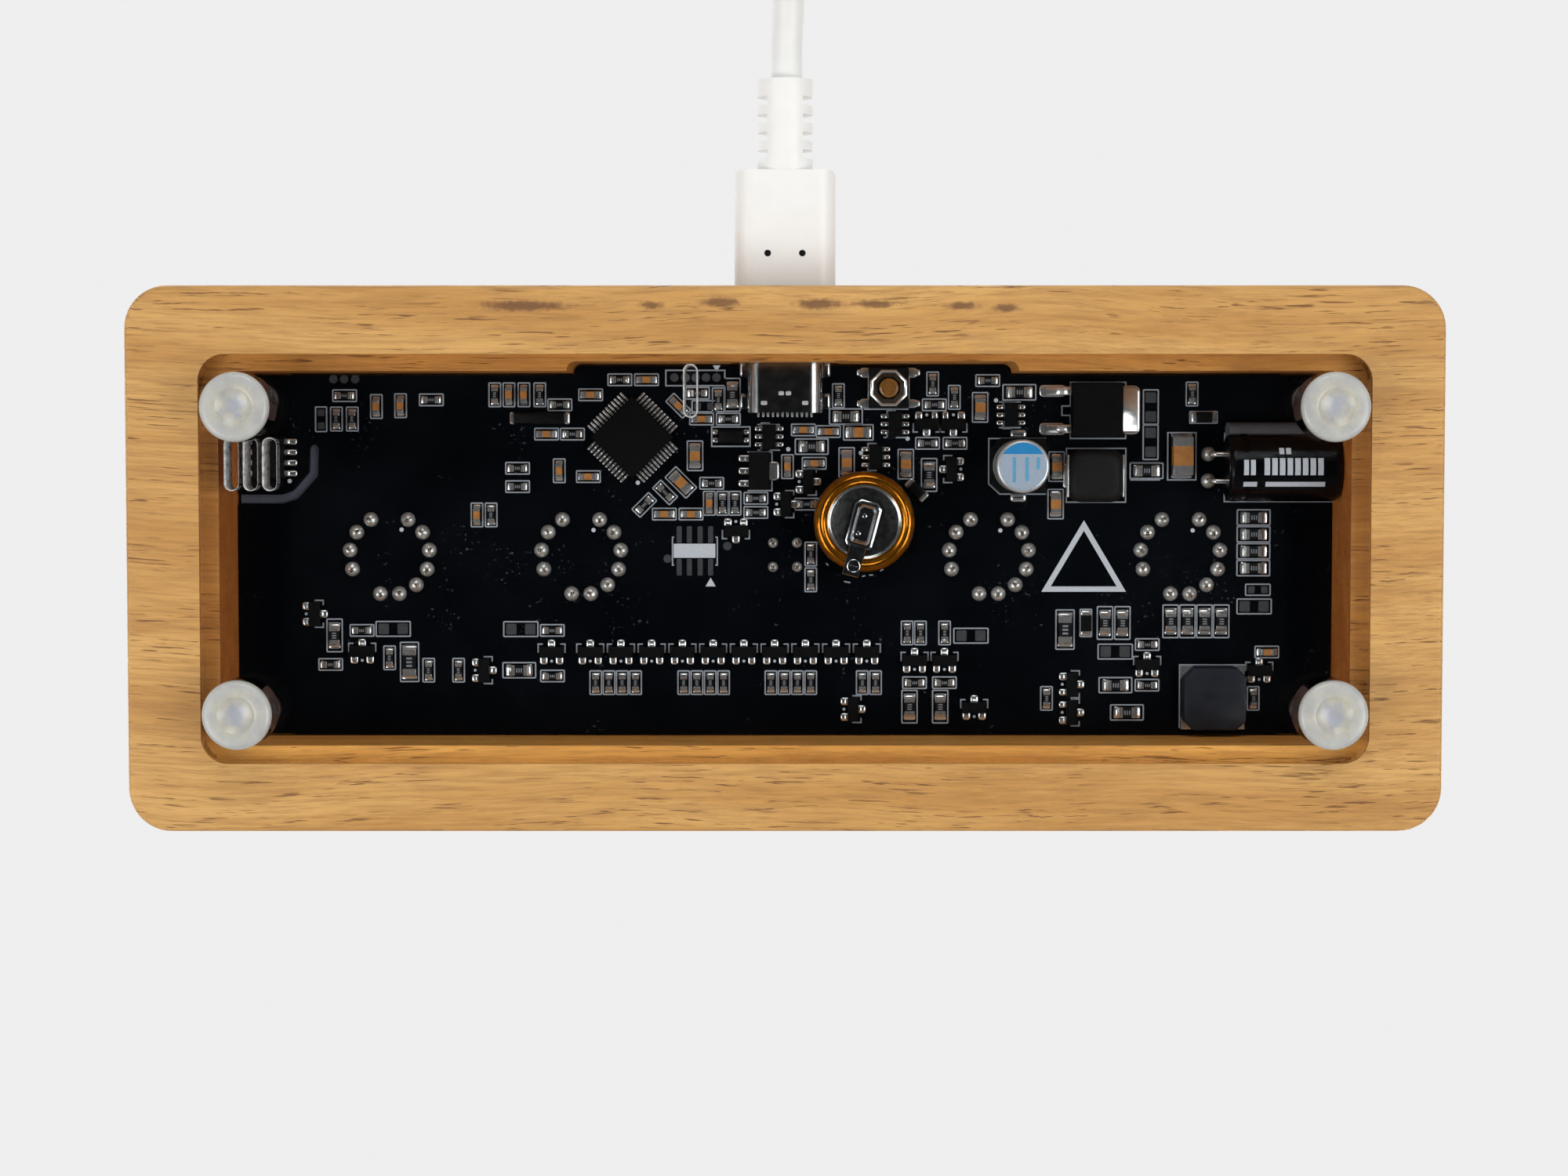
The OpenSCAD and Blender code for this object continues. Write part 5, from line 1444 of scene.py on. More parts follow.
@dataclass(frozen=True)
class BoardPrint(SubAssembly):
    """Printed lines, dots and bare pads that stand alone, placed on the drawing grid."""

    pads_h: tuple[Point, ...] = ((898, 517.5), (1603.6, 751))
    pads_v: tuple[Point, ...] = ((411, 534),)
    big_h: tuple[Point, ...] = ((1422.2, 830), (663.8, 801.3), (501, 801), (1238, 809.7), (1599, 772.3))
    big_v: tuple[Point, ...] = ((1465.8, 518.5), (1465.8, 563.2))
    dots: tuple[Point, ...] = (
        (512.5, 674.4), (756.9, 674.9), (1275, 675.4), (1520, 675.4), (813.5, 614.6), (370.5, 612.5),
        (1004.9, 572.1), (1156.8, 558.7), (1097.3, 576.8), (1269, 510))
    rounds: tuple[Point, ...] = (
        (427, 483), (440.5, 483), (454.5, 483), (1539, 578.7), (1537.5, 611.7), (927.3, 695.3),
        (851.3, 711.4), (860.2, 481), (874.1, 481), (887.2, 481), (900.4, 481), (913.7, 481))
    boxes: tuple[tuple[float, float, float, float], ...] = (
        (1560, 1715, 552, 638.7), (1358.8, 1434.3, 571, 639.4), (1487.6, 1523.6, 551, 611),
        (849.4, 924.3, 471.9, 491.4), (907.6, 956.2, 543.7, 568.4))
    lines: tuple[tuple[Point, ...], ...] = (
        ((1333, 558.4), (1260, 558.4), (1260, 616.1), (1274, 629), (1333, 629)),
        ((1504.5, 928), (1504.5, 847), (1588, 847)), ((1053, 717), (1056, 720)),
        ((1076, 740.4), (1084, 742)), ((1099, 734), (1103, 733)), ((1108, 732.5), (1113, 732)),
        ((1122, 727), (1126, 725)), ((859.5, 684), (857.5, 684), (857.5, 719.5), (859.5, 719.5)),
        ((912, 684), (914.5, 684), (914.5, 719.5), (912, 719.5)), ((965.8, 540.8), (994.5, 540.8)),
        ((965.8, 573.2), (994.5, 573.2)), ((953, 575.6), (984.2, 575.6), (984.2, 588)),
        ((984.2, 612), (984.2, 624.7), (953, 624.7)), ((1126.3, 557.2), (1154.9, 557.2)),
        ((1101.3, 521.2), (1157.7, 521.2)), ((1102.3, 580.3), (1130.9, 580.3)),
        ((1433.9, 492), (1433.9, 487.2), (1363.7, 487.2), (1363.7, 517.2), (1352.8, 517.2),
         (1352.8, 529.1), (1363.7, 529.1), (1363.7, 558.4), (1433.9, 558.4), (1433.9, 554)),
        ((1440, 589.2), (1478, 589.2)), ((1440, 611), (1478, 611)), ((1273, 512.1), (1300.5, 512.1)),
        ((1273, 544.6), (1300.5, 544.6)),
        ((882, 534), (872, 526), (872, 470), (876, 464.5), (884, 464.5), (888.5, 470), (888.5, 526)))
    triangle: tuple[Point, ...] = ((1381.5, 669), (1333.5, 750.2), (1429.5, 750.2))
    triangle_line: float = 0.64
    arrows: tuple[Place, ...] = ((914, 468.4, 5.6), (906, 743, -7.4))
    small_pads: tuple[Point, ...] = ((912.4, 550.1), (912.4, 560.5), (951.4, 550.1), (951.4, 560.5))
    bare_chip_x: tuple[float, ...] = (866, 879, 892.7, 906)
    bare_chip_y: tuple[Point, ...] = ((670, 691.5), (711.5, 733))
    bare_chip: Point = (885.5, 701.3)
    bare_chip_bar: Point = (5.0, 1.7)
    small_pad: Place = (0.8, 0.85, 0.78)
    big_pad: Place = (1.25, 1.3, 1.14)

    def build(self) -> None:
        """Adds the print to the shared shape, and makes the bare pads."""
        self.lines_and_signs()
        pads = Shape()
        for places, turn, size in ((self.pads_h, 0, self.small_pad), (self.pads_v, 90, self.small_pad),
                                   (self.big_h, 0, self.big_pad), (self.big_v, 90, self.big_pad)):
            self.pairs(pads, BOARD.spots(places, turn), *size)
        pads.hang(turned([(0.52, 0), (0.5, BOARD.pad_t)], 20), BOARD.spots(self.rounds))
        for y0, y1 in self.bare_chip_y:
            at = BOARD.spots([(x, (y0 + y1) / 2) for x in self.bare_chip_x])
            pads.hang(block(0.62, (y1 - y0) / BOARD.steps, 0, BOARD.pad_t, 0.1, 0.01), at)
        pads.hang(pillow(0.7, 0.62, 0.22), BOARD.spots(self.small_pads), 1)
        self.finish(pads, "bare_pads", ["bare_pad", "tinned_lead"], "solder")
        self.finish(self.bench.silk, "board_print", ["silk_print", "bright_print"], "board")

    def pairs(self, pads: Shape, at: Array, length: float, width: float, aside: float) -> None:
        """Adds pairs of bare pads for chips that aren't fitted, and a printed box about each pair.

        Args:
            pads: the shape that gathers the pads.
            at: places as rows of x, y, z and turn.
            length: a pad's size along the pair.
            width: its size across.
            aside: how far each pad's middle is from the pair's.
        """
        for s in (-1, 1):
            pads.hang(block(length, width, 0, BOARD.pad_t, 0.1, 0.01, shift=(s * aside, 0)), at)
        BOARD.box(self.bench.silk, 2 * aside + length + 0.75, width + 0.65, at)

    def lines_and_signs(self) -> None:
        """Adds dots, lines, boxes, arrows, the triangle and the bare chip's plain bar to the print."""
        silk, high, ground = self.bench.silk, BOARD.print_t, BOARD.spot()
        silk.hang(turned([(0.26, 0), (0.26, high)], 14), BOARD.spots(self.dots), 1)
        for corners in self.lines:
            silk.hang(ribbon([BOARD.px(*c) for c in corners], BOARD.line, high), ground)
        triangle = [BOARD.px(*c) for c in self.triangle]
        silk.hang(ribbon(triangle, self.triangle_line, high, True), ground, 1, closed=True)
        for x, y, reach in self.arrows:
            tips = [(x + reach * math.sin(a), y + reach * math.cos(a)) for a in np.radians([240, 120, 0])]
            ring = np.array([BOARD.px(*tip) for tip in tips])
            silk.hang(np.stack([lift(ring, z) for z in (0, high)]), ground, 1)
        for x0, x1, y0, y1 in self.boxes:
            corners = [BOARD.px(*c) for c in ((x0, y0), (x0, y1), (x1, y1), (x1, y0))]
            silk.hang(ribbon(corners, BOARD.line, high, True), ground, closed=True)
        bar = moulded(*self.bare_chip_bar, 0.05, ((0, 0), (0, high)))
        silk.hang(bar, BOARD.spots([self.bare_chip]), 1)


@dataclass(frozen=True)
class LeadSolder(SubAssembly):
    """The solder under each chip's leads, which swells around the foot and runs out past it."""

    past: float = 0.34
    share: float = 0.18
    widest: float = 0.27
    high: float = 0.19
    least: float = 0.03
    nodes: tuple[str, ...] = ("chip_leads", "microcontroller_leads")

    def build(self) -> None:
        """Draws a pad of solder at each lead of the nodes.

        A pad is wider than its lead, on each side, by a share of the gap to the next lead.
        """
        shape = Shape()
        for node in self.nodes:
            prints = footprints(self.bench.nodes[node])
            spots = np.array([[f.x, f.y] for f in prints])
            apart = np.linalg.norm(spots[:, None] - spots[None], axis=2) + 1e3 * np.eye(len(spots))
            families: dict[Place, list[Footprint]] = {}
            for f, gap in zip(prints, apart.min(1) - [g.width for g in prints]):
                beside = round(min(self.widest, max(self.share * gap, self.least)), 2)
                families.setdefault((round(f.length, 1), round(f.width, 2), beside), []).append(f)
            for (length, width, beside), same in families.items():
                at = BOARD.under(same)
                shape.hang(pillow(length + 2 * self.past, width + 2 * beside, self.high), at)
        self.finish(shape, "lead_solder", ["tinned_lead"], "solder", 60)


@dataclass(frozen=True)
class TrioPrint(SubAssembly):
    """The printed corners beside the single lead of each three-lead chip."""

    body: float = 2.9
    reach: float = 1.9
    half: float = 1.62
    across: float = 0.95
    arm: float = 0.57
    dot_y: float = 1.1
    dot_r: float = 0.18
    slack: float = 0.15

    def build(self) -> None:
        """Adds two corners for each chip, on the side where only one lead stands."""
        silk = self.bench.silk
        feet = np.array([[f.x, f.y] for f in footprints(self.bench.nodes["chip_leads"])])
        for f in footprints(self.bench.nodes["small_chips"]):
            if abs(f.length - self.body) > self.slack:
                continue
            turn = math.radians(f.turn)
            off = feet - [f.x, f.y]
            near = off[np.hypot(off[:, 0], off[:, 1]) < self.reach]
            side = near @ [-math.sin(turn), math.cos(turn)] > 0
            at = BOARD.spot(f.x, f.y, f.turn if side.sum() == 1 else f.turn + 180)
            dot = turned([(self.dot_r, 0), (self.dot_r, BOARD.print_t)], 12)
            silk.hang(dot + [0, -self.dot_y, 0], at, 1)
            for s in (-1, 1):
                points = [(s * self.half, -0.1), (s * self.half, self.across),
                          (s * (self.half - self.arm), self.across)]
                silk.hang(ribbon(points, BOARD.line, BOARD.print_t), at)


# -------- larger parts on the board


@dataclass(frozen=True)
class ResetSwitch(SubAssembly):
    """The reset switch's steel cover: an octagon with a raised rim, side frames and four legs."""

    x: float = -12.4
    y: float = 20.0
    low: float = 1.2
    half: float = 2.42
    leg_x: float = 3.02
    leg_y: float = 1.85
    wetting_x: float = 3.1
    rim: tuple[Point, ...] = (
        (1.7, 0.0), (2.12, 0.0), (2.2, 0.08), (2.14, 0.2), (2.0, 0.27), (1.86, 0.2), (1.78, 0.05))
    plate: tuple[Point, ...] = ((1.32, 0.0), (2.0, 0.0), (2.0, 0.05), (1.75, 0.1), (1.32, 0.14))
    knob: tuple[Point, ...] = (
        (1.15, 0.9), (1.15, 1.9), (1.05, 2.01), (0.86, 2.05), (0.8, 1.99), (0.72, 1.99), (0.66, 2.05),
        (0.2, 2.05))

    def build(self) -> None:
        """Draws the cover, its frames and its legs."""
        shape = Shape()
        at = BOARD.spot(self.x, self.y)
        a = math.pi / 8 * (1 + 2 * np.arange(8))
        eight = np.column_stack([np.cos(a), np.sin(a)]) / math.cos(math.pi / 8)
        for levels, slot in ((self.rim, 0), (self.plate, 1)):
            rings = np.stack([lift(eight * r, self.low + h) for r, h in levels])
            shape.hang(rings, at, slot, closed=True)
        for s in (-1, 1):
            shape.hang(block(0.16, 2.7, 0.3, self.low + 0.05, 0.06, 0.05, 2, shift=(s * self.half, 0)), at)
            for y in (-self.leg_y, self.leg_y):
                shape.hang(block(1.0, 0.62, 0.0, 0.34, 0.14, 0.1, 3, shift=(s * self.leg_x, y)), at)
                shape.hang(pillow(1.4, 0.8, 0.16, shift=(s * self.wetting_x, y)), at)
        self.finish(shape, "switch_cover", ["tinned_lead", "bronze_steel"], "bright_steel",
                    replaces=["reset_switch_cover"])
        knob = Shape()
        knob.hang(turned(self.knob, 36), at)
        self.finish(knob, "switch_button", ["amber_plastic"], "amber_plastic", 40, ["reset_button"],
                    Body.BUTTON)


@dataclass(frozen=True)
class MemoryCell(SubAssembly):
    """The back-up cell: a nickel can in a shrunk amber sleeve, with a welded tab."""

    x: float = -9.4
    y: float = 4.1
    turn: float = -75.0
    rim: float = 6.0
    lip: float = 4.35
    top: float = 5.7
    shoulder: float = 0.95
    welt: tuple[Point, ...] = (
        (0.72, 0.03), (0.62, 0.11), (0.48, 0.12), (0.36, 0.03), (0.2, 0.0), (0.03, 0.06), (0.0, 0.16))
    can_r: float = 5.62
    plate: tuple[Point, ...] = (
        (-2.5, -1.0), (-1.9, -1.62), (2.7, -1.62), (3.1, -1.3), (3.1, 1.3), (2.7, 1.62), (-1.9, 1.62),
        (-2.5, 1.0))
    welds: tuple[Point, ...] = ((-0.72, 0.15), (1.5, 0.35))
    arm: Point = (3.6, 1.95)
    arm_x: float = 4.75
    leg_x: float = 6.5
    ring: Place = (5.35, -0.1, 0.0)
    ring_r: float = 0.74
    ring_tube: float = 0.05

    def build(self) -> None:
        """Draws the sleeve, the can and the tab."""
        at = BOARD.spot(self.x, self.y, self.turn)
        self.sleeve(at)
        self.can(at)
        self.tab(at)

    def sleeve(self, at: Array) -> None:
        """The sleeve: a round shoulder, a shallow groove and a lip over the can's face.

        Args:
            at: the cell's place as a row of x, y, z and turn.
        """
        e, r, z = self.shoulder, self.lip, self.top
        a = np.radians(np.linspace(0, 80, 8))
        outer = list(zip(self.rim - e + e * np.cos(a), z - e + e * np.sin(a)))
        welt = [(r + out, z - down) for out, down in self.welt]
        profile = [(self.can_r, 0.05), (5.9, 0.0), (6.0, 0.15), *outer, *welt, (self.can_r, welt[-1][1])]
        shape = Shape()
        shape.hang(turned(profile, 72), at, closed=True)
        self.finish(shape, "cell_sleeve", ["amber_sleeve"], "amber_sleeve", 50, ["memory_cell_sleeve"])

    def can(self, at: Array) -> None:
        """The can: an eased rim and a nearly flat face.

        Args:
            at: the cell's place as a row of x, y, z and turn.
        """
        z = self.top - 0.2
        shape = Shape()
        profile = [(5.1, 0.4), (5.6, 0.7), (5.6, z - 0.4), (5.4, z - 0.12), (4.5, z), (4.32, z - 0.03),
                   (4.2, z - 0.14), (4.0, z - 0.2), (0.4, z - 0.2)]
        shape.hang(turned(profile, 64), at)
        self.finish(shape, "cell_can", ["can_nickel"], "bright_steel", 40, ["memory_cell_can"])

    def tab(self, at: Array) -> None:
        """The tab: a plate with a pressed panel and two weld dots, and a leg with a pressed ring.

        Args:
            at: the cell's place as a row of x, y, z and turn.
        """
        z = self.top
        shape = Shape()
        plate = np.array(self.plate)
        rim, ridge = plate * [0.965, 0.95], plate * [0.83, 0.72] + [0.05, 0]
        wall, panel = plate * [0.78, 0.63] + [0.05, 0], plate * [0.70, 0.52] + [0.05, 0]
        levels = ((plate, 0.0), (plate, 0.1), (rim, 0.15), (ridge, 0.17), (wall, 0.3), (panel, 0.04),
                  (panel * 0.3, 0.03))
        shape.hang(np.stack([lift(ring, z + h) for ring, h in levels]), at)
        length, width = self.arm
        shape.hang(block(length, width, z, z + 0.14, 0.1, 0.04, 2, shift=(self.arm_x, 0)), at)
        shape.hang(block(0.16, width, 0.0, z + 0.08, 0.05, 0.03, shift=(self.leg_x, 0)), at)
        shape.hang(turned([(0.8, 5.5), (0.8, z)], 20) + [-1.2, 0, 0], at)
        a, tube = np.linspace(0, 2 * math.pi, 9)[:-1], self.ring_tube
        section = np.column_stack([self.ring_r + tube * np.cos(a), z + 0.13 + tube * np.sin(a)])
        shape.hang(turned(section, 28) + self.ring, at, closed=True)
        shape.hang(block(0.1, 1.3, z + 0.1, z + 0.17, 0.03, 0.02, shift=self.ring[:2]), at)
        weld = turned([(0.3, z), (0.26, z + 0.05), (0.14, z + 0.09), (0.04, z + 0.1)], 16)
        for x, y in self.welds:
            shape.hang(weld + [x, y, 0], at)
        self.finish(shape, "cell_tab", ["bright_steel"], "bright_steel", 25, ["memory_cell_tab"])


@dataclass(frozen=True)
class FilterCapacitor(SubAssembly):
    """The printed top of the can, and its two soldered feet."""

    x: float = -28.0
    y: float = 10.7
    radius: float = 2.78
    top: float = 7.7
    chord: float = 1.44
    bars: tuple[Place, ...] = ((1.05, -1.9, 1.1), (-0.45, -1.75, 1.1), (-1.75, -0.4, 1.05))
    bar: float = 0.42
    foot_y: float = 3.78

    def build(self) -> None:
        """Draws the pale disc with its blue segment and plain bars, and the feet."""
        at = BOARD.spot(self.x, self.y)
        shape = Shape()
        z = self.top
        lean = math.asin(self.chord / self.radius)
        segment = arc(self.radius, math.degrees(lean), 180 - math.degrees(lean), 24)
        rest = arc(self.radius, 180 - math.degrees(lean), 360 + math.degrees(lean), 40)
        for ring, slot in ((rest, 0), (segment, 1)):
            shape.hang(np.stack([lift(ring, z), lift(ring, z + 0.012)]), at, slot)
        for x, low, high in self.bars:
            middle = (x, (high + low) / 2)
            shape.hang(block(self.bar, high - low, z, z + 0.02, 0.1, 0.005, shift=middle), at, 2)
        self.finish(shape, "can_print", ["can_top", "can_blue", "can_mark"], "can_aluminium")
        feet = Shape()
        for s in (-1, 1):
            feet.hang(pillow(1.95, 1.1, 0.3, shift=(0, s * self.foot_y)), at)
        self.finish(feet, "can_feet", ["tinned_lead"], "solder", 60)


@dataclass(frozen=True)
class PowerParts(SubAssembly):
    """The inductor with its clips, and the power transistor's tab, leads and solder."""

    inductor: Point = (-37.1, 9.5)
    body: Point = (6.5, 6.3)
    corner: float = 1.5
    levels: tuple[Point, ...] = ((0.5, 0.1), (0.0, 0.5), (0.0, 2.2), (0.3, 2.75), (0.8, 2.98), (1.4, 3.0))
    clip_x: float = 3.3
    transistor: Point = (-37.3, 17.4)
    lead_y: float = 2.28
    knee: tuple[Point, ...] = ((3.0, 0.95), (3.5, 0.95), (3.95, 0.75), (4.3, 0.35), (4.8, 0.14),
                               (6.0, 0.12))
    lead: tuple[Point, ...] = ((0.5, -0.13), (0.5, 0.13), (0.4, 0.2), (-0.4, 0.2), (-0.5, 0.13),
                               (-0.5, -0.13))

    def build(self) -> None:
        """Draws the inductor's body, its clips, and the transistor's bright parts."""
        at = BOARD.spot(*self.inductor)
        body = Shape()
        body.hang(moulded(*self.body, self.corner, self.levels, 5, 0.5), at)
        self.finish(body, "inductor_body", ["ferrite"], "chip_epoxy", 50, ["power_inductor"])
        clips = Shape()
        for s in (-1, 1):
            clips.hang(block(0.24, 5.1, 0.05, 2.45, 0.1, 0.08, 2, shift=(s * self.clip_x, 0)), at)
            clips.hang(pillow(1.1, 3.0, 0.2, shift=(s * (self.clip_x - 0.1), 0)), at)
        self.finish(clips, "inductor_clips", ["tinned_lead"], "solder", 50, ["inductor_terminals"])
        at = BOARD.spot(*self.transistor)
        metal = Shape()
        metal.hang(block(7.2, 5.4, 0.02, 0.5, 0.25, 0.12, 3, shift=(-1.4, 0)), at)
        metal.hang(pillow(2.4, 5.9, 0.26, shift=(-4.1, 0)), at)
        for s in (-1, 1):
            metal.hang(pillow(3.2, 1.45, 0.14, shift=(5.2, s * self.lead_y)), at)
            rings = [np.array([[x, s * self.lead_y + y, z + d] for y, d in self.lead]) for x, z in self.knee]
            metal.hang(np.stack(rings), at)
        self.finish(metal, "transistor_metal", ["tinned_lead"], "solder", 50, ["power_transistor_tab"])


@dataclass(frozen=True)
class EndedParts(SubAssembly):
    """Crystals and diodes: a moulded or steel body between two soldered ends."""

    node: str
    name: str
    body_finish: str
    end: float = 0.5
    bare_up_to: float = 0.0
    boxed_up_to: float = 0.0
    margin: Point = (0.75, 0.25)
    corner: float = 0.12

    def build(self) -> None:
        """Draws each of the node's solids with its ends. Short ones have none, or have a printed box."""
        shape = Shape()
        for f in footprints(self.bench.nodes[self.node]):
            at = BOARD.under([f])
            thick = f.high - f.low
            levels = [(0.06, 0.12), (0.0, 0.45 * thick), (0.0, 0.55 * thick), (0.08, thick - 0.03),
                      (0.14, thick)]
            bare = f.length < self.bare_up_to
            half = f.length - (0.3 if bare else 1.4 * self.end)
            shape.hang(moulded(half, f.width, self.corner, levels, 2), at)
            if f.length < self.boxed_up_to and f.turn % 90 == 0:
                BOARD.box(self.bench.silk, f.length + self.margin[0], f.width + self.margin[1], at)
            for s in () if bare else (-1, 1):
                mid = s * (f.length - self.end) / 2
                cap = block(self.end, 0.8 * f.width, 0.04, 0.72 * thick, 0.12, 0.08, 2, shift=(mid, 0))
                shape.hang(cap, at, 1)
                out = (s * (f.length / 2 - 0.17), 0)
                shape.hang(pillow(self.end + 0.2, f.width + 0.06, 0.24, shift=out), at, 1)
        self.finish(shape, self.name, [self.body_finish, "tinned_lead"], "chip_epoxy", 40, [self.node])


@dataclass(frozen=True)
class Buzzer(SubAssembly):
    """The buzzer's moulded body with cut corners, and the bright feet under them."""

    x: float = -51.5
    y: float = -17.2
    width: float = 7.5
    cut: float = 1.13
    high: float = 2.5
    foot: float = 1.5

    def build(self) -> None:
        """Draws the body and the four feet."""
        body = Shape()
        levels = [(0.08, 0.02), (0.0, 0.12), (0.0, self.high - 0.3), (0.1, self.high - 0.08),
                  (0.32, self.high)]
        rings = moulded(self.width, self.width, self.cut, levels, 1, 0.4)
        body.hang(rings, BOARD.spot(self.x, self.y))
        self.finish(body, "buzzer_body", ["buzzer_plastic"], "black_plastic", 25, ["buzzer"])
        feet = Shape()
        half = self.width / 2 + 0.1
        corner = np.array([(half, half - self.foot), (half, half), (half - self.foot, half)])
        at = np.array([[self.x, self.y, BOARD.z, turn] for turn in (0, 90, 180, 270)], float)
        top = corner * 0.9 + corner.mean(0) * 0.1
        feet.hang(np.stack([lift(corner, 0.02), lift(corner, 0.3), lift(top, 0.42)]), at)
        self.finish(feet, "buzzer_feet", ["tinned_lead"], "solder", 50, ["buzzer_terminals"])


# -------- tubes, feet, edges and marks


@dataclass(frozen=True)
class TubeAnodes(SubAssembly):
    """Each tube's anode: a back screen, windowed sides and a honeycomb mesh before the digits."""

    xs: tuple[float, ...] = (-47.5, -24.5, 24.5, 47.5)
    z: float = 50.1
    half: Place = (5.75, 4.95, 11.6)
    frame: float = 0.6
    sheet: float = 0.25
    side_window: float = 13.5
    side: float = 0.6
    wire: float = 0.1
    mesh_y: float = 0.17

    def build(self) -> None:
        """Draws the four anodes as one piece."""
        width, high = 2 * self.half[0], 2 * self.half[2]
        full = outline(width, high, 0.4, 2)
        window = outline(width - 2 * self.frame, high - 2 * self.frame, 0.3, 2)
        shape = Shape()
        front = self.half[1]
        shape.loft(strip(full, window, front - self.sheet, front), closed=True)
        shape.loft(np.stack([lift(full, -front), lift(full, self.sheet - front)]))
        strut = ribbon([(-self.side / 2, 0), (self.side / 2, 0)], self.wire, self.wire)
        places = self.struts(width / 2 - self.frame, high / 2 - self.frame)
        shape.loft(strut + [0, 0, front - self.mesh_y], at=places)
        shape.stand()
        flank = Shape()
        deep = 2 * front
        edge, hole = outline(deep, high, 0.2), outline(deep - 2, self.side_window, 0.5)
        flank.loft(strip(edge, hole, -self.sheet / 2, self.sheet / 2), closed=True)
        flank.stand()
        flank.swing(90)
        for s in (-1, 1):
            shape.join(flank, (s * (self.half[0] - self.sheet / 2), 0.0, 0.0))
        whole = Shape()
        for x in self.xs:
            whole.join(shape, (x, 0.0, self.z))
        replaced = [f"tube_{i + 1}_anode" for i in range(len(self.xs))]
        self.finish(whole, "anode_meshes", ["anode"], "anode", replaces=replaced)

    def struts(self, half_w: float, half_h: float) -> Array:
        """Places of a honeycomb's sides within a window.

        A cell centre is i (w, 0) + j (w / 2, 1.5 side), with w = side sqrt 3, and its three own
        sides are w / 2 away at t = 0, 60 and 120 degrees, each turned by t + 90.

        Args:
            half_w: half the window's width.
            half_h: half its height.

        Returns:
            Rows of x, y, z and turn.
        """
        w = self.side * math.sqrt(3)
        n = int(2 * half_h / self.side)
        i, j = np.meshgrid(np.arange(-n, n + 1), np.arange(-n, n + 1))
        centre = np.column_stack([(i * w + j * w / 2).ravel(), (j * 1.5 * self.side).ravel()])
        rows = []
        for t in (0, 60, 120):
            a = math.radians(t)
            mid = centre + [w / 2 * math.cos(a), w / 2 * math.sin(a)]
            mid = mid[(np.abs(mid[:, 0]) < half_w) & (np.abs(mid[:, 1]) < half_h)]
            rows.append(np.column_stack([mid, np.zeros(len(mid)), np.full(len(mid), t + 90.0)]))
        return np.vstack(rows)


@dataclass(frozen=True)
class Feet(SubAssembly):
    """The four clear feet: a round-edged puck whose face is clouded, with a shallow dish."""

    x: float = 62.55
    y: float = 17.55
    radius: float = 4.0
    height: float = 6.0
    round_r: float = 0.7
    gap: float = 0.05

    def build(self) -> None:
        """Draws the clear bodies and, in front of them by the face's gap, their clouded faces."""
        at = np.array([[sx * self.x, sy * self.y, 0, 0] for sx in (-1, 1) for sy in (-1, 1)], float)
        e, r = self.round_r, self.radius
        edge = [(r - e + e * math.sin(a), e - e * math.cos(a)) for a in np.radians(np.linspace(10, 90, 7))]
        clear = [(0.3, 0.36), (1.9, 0.36), (2.1, 0.12), (2.3, 0.05), *((x, z + self.gap) for x, z in edge),
                 (r, self.height - self.gap)]
        face = [(0.25, 0.30), (1.85, 0.30), (2.05, 0.06), (2.3, 0.0), *edge, (r - 0.02, e + 0.25),
                (r - 0.3, e + 0.25), (0.3, e + 0.25)]
        body = Shape()
        body.loft(turned(clear, 48), at=at)
        body.loft(turned(face, 48), 1, at=at)
        self.finish(body, "foot_pucks", ["clear_rubber", "clouded_face"], "clear_rubber", 60, ["feet"])


@dataclass(frozen=True)
class CutEdges(SubAssembly):
    """Pale linings on the cut walls of the plate's slots, partly the walls' own frosted colour and partly
    painted highlight, and the grey floor of the board's thermal slot.
    """

    vents: tuple[Point, ...] = ((59.5, 11.0), (61.7, 11.0), (63.9, 11.0))
    finger_slot: tuple[Point, ...] = ((10.9, 19.45),)
    width: float = 1.7
    length: float = 6.2
    vent_wall: float = 0.24
    vent_shift: float = -0.17
    finger_wall: float = 0.26
    low: float = 6.02
    high: float = 8.98
    route: tuple[Point, ...] = ((65.4, 6.7), (60.3, 6.7), (58.8, 7.2), (56.6, 9.7), (56.5, 12.7))
    groove: float = 1.04
    groove_z: float = 21.6
    foot_share: float = 0.55

    def build(self) -> None:
        """Draws the linings, which lean in and show most on a vent's outer side, and the groove's floor."""
        shape = Shape()

        def around(grow: float) -> Array:
            """The slot's outline, drawn in by a distance."""
            return outline(self.width - 2 * grow, self.length - 2 * grow, self.width / 2 - grow - 0.01, 6)

        linings = ((self.vents, self.vent_wall, self.vent_shift), (self.finger_slot, self.finger_wall, 0.0))
        for slots, wall, shift in linings:
            rings = [lift(around(0.0), self.low), lift(around(0.0), self.high),
                     lift(around(wall), self.high) + [shift, 0, 0],
                     lift(around(wall * self.foot_share), self.low) + [shift * self.foot_share, 0, 0]]
            shape.loft(np.stack(rings), at=np.array([[x, y, 0, 0] for x, y in slots]), closed=True)
        # The linings' brightness is partly the frosted edge and partly painted highlight.
        self.finish(shape, "slot_linings", ["cut_edge_and_glint"], "clear_acrylic", 50)
        groove = Shape()
        z, half = self.groove_z, self.groove / 2
        groove.loft(ribbon(self.route, self.groove, 0.5) + [0, 0, z])
        groove.loft(turned([(half, z + 0.03), (half, z + 0.5)], 16) + [*self.route[-1], 0])
        self.finish(groove, "slot_floor", ["slot_grey"], "board")


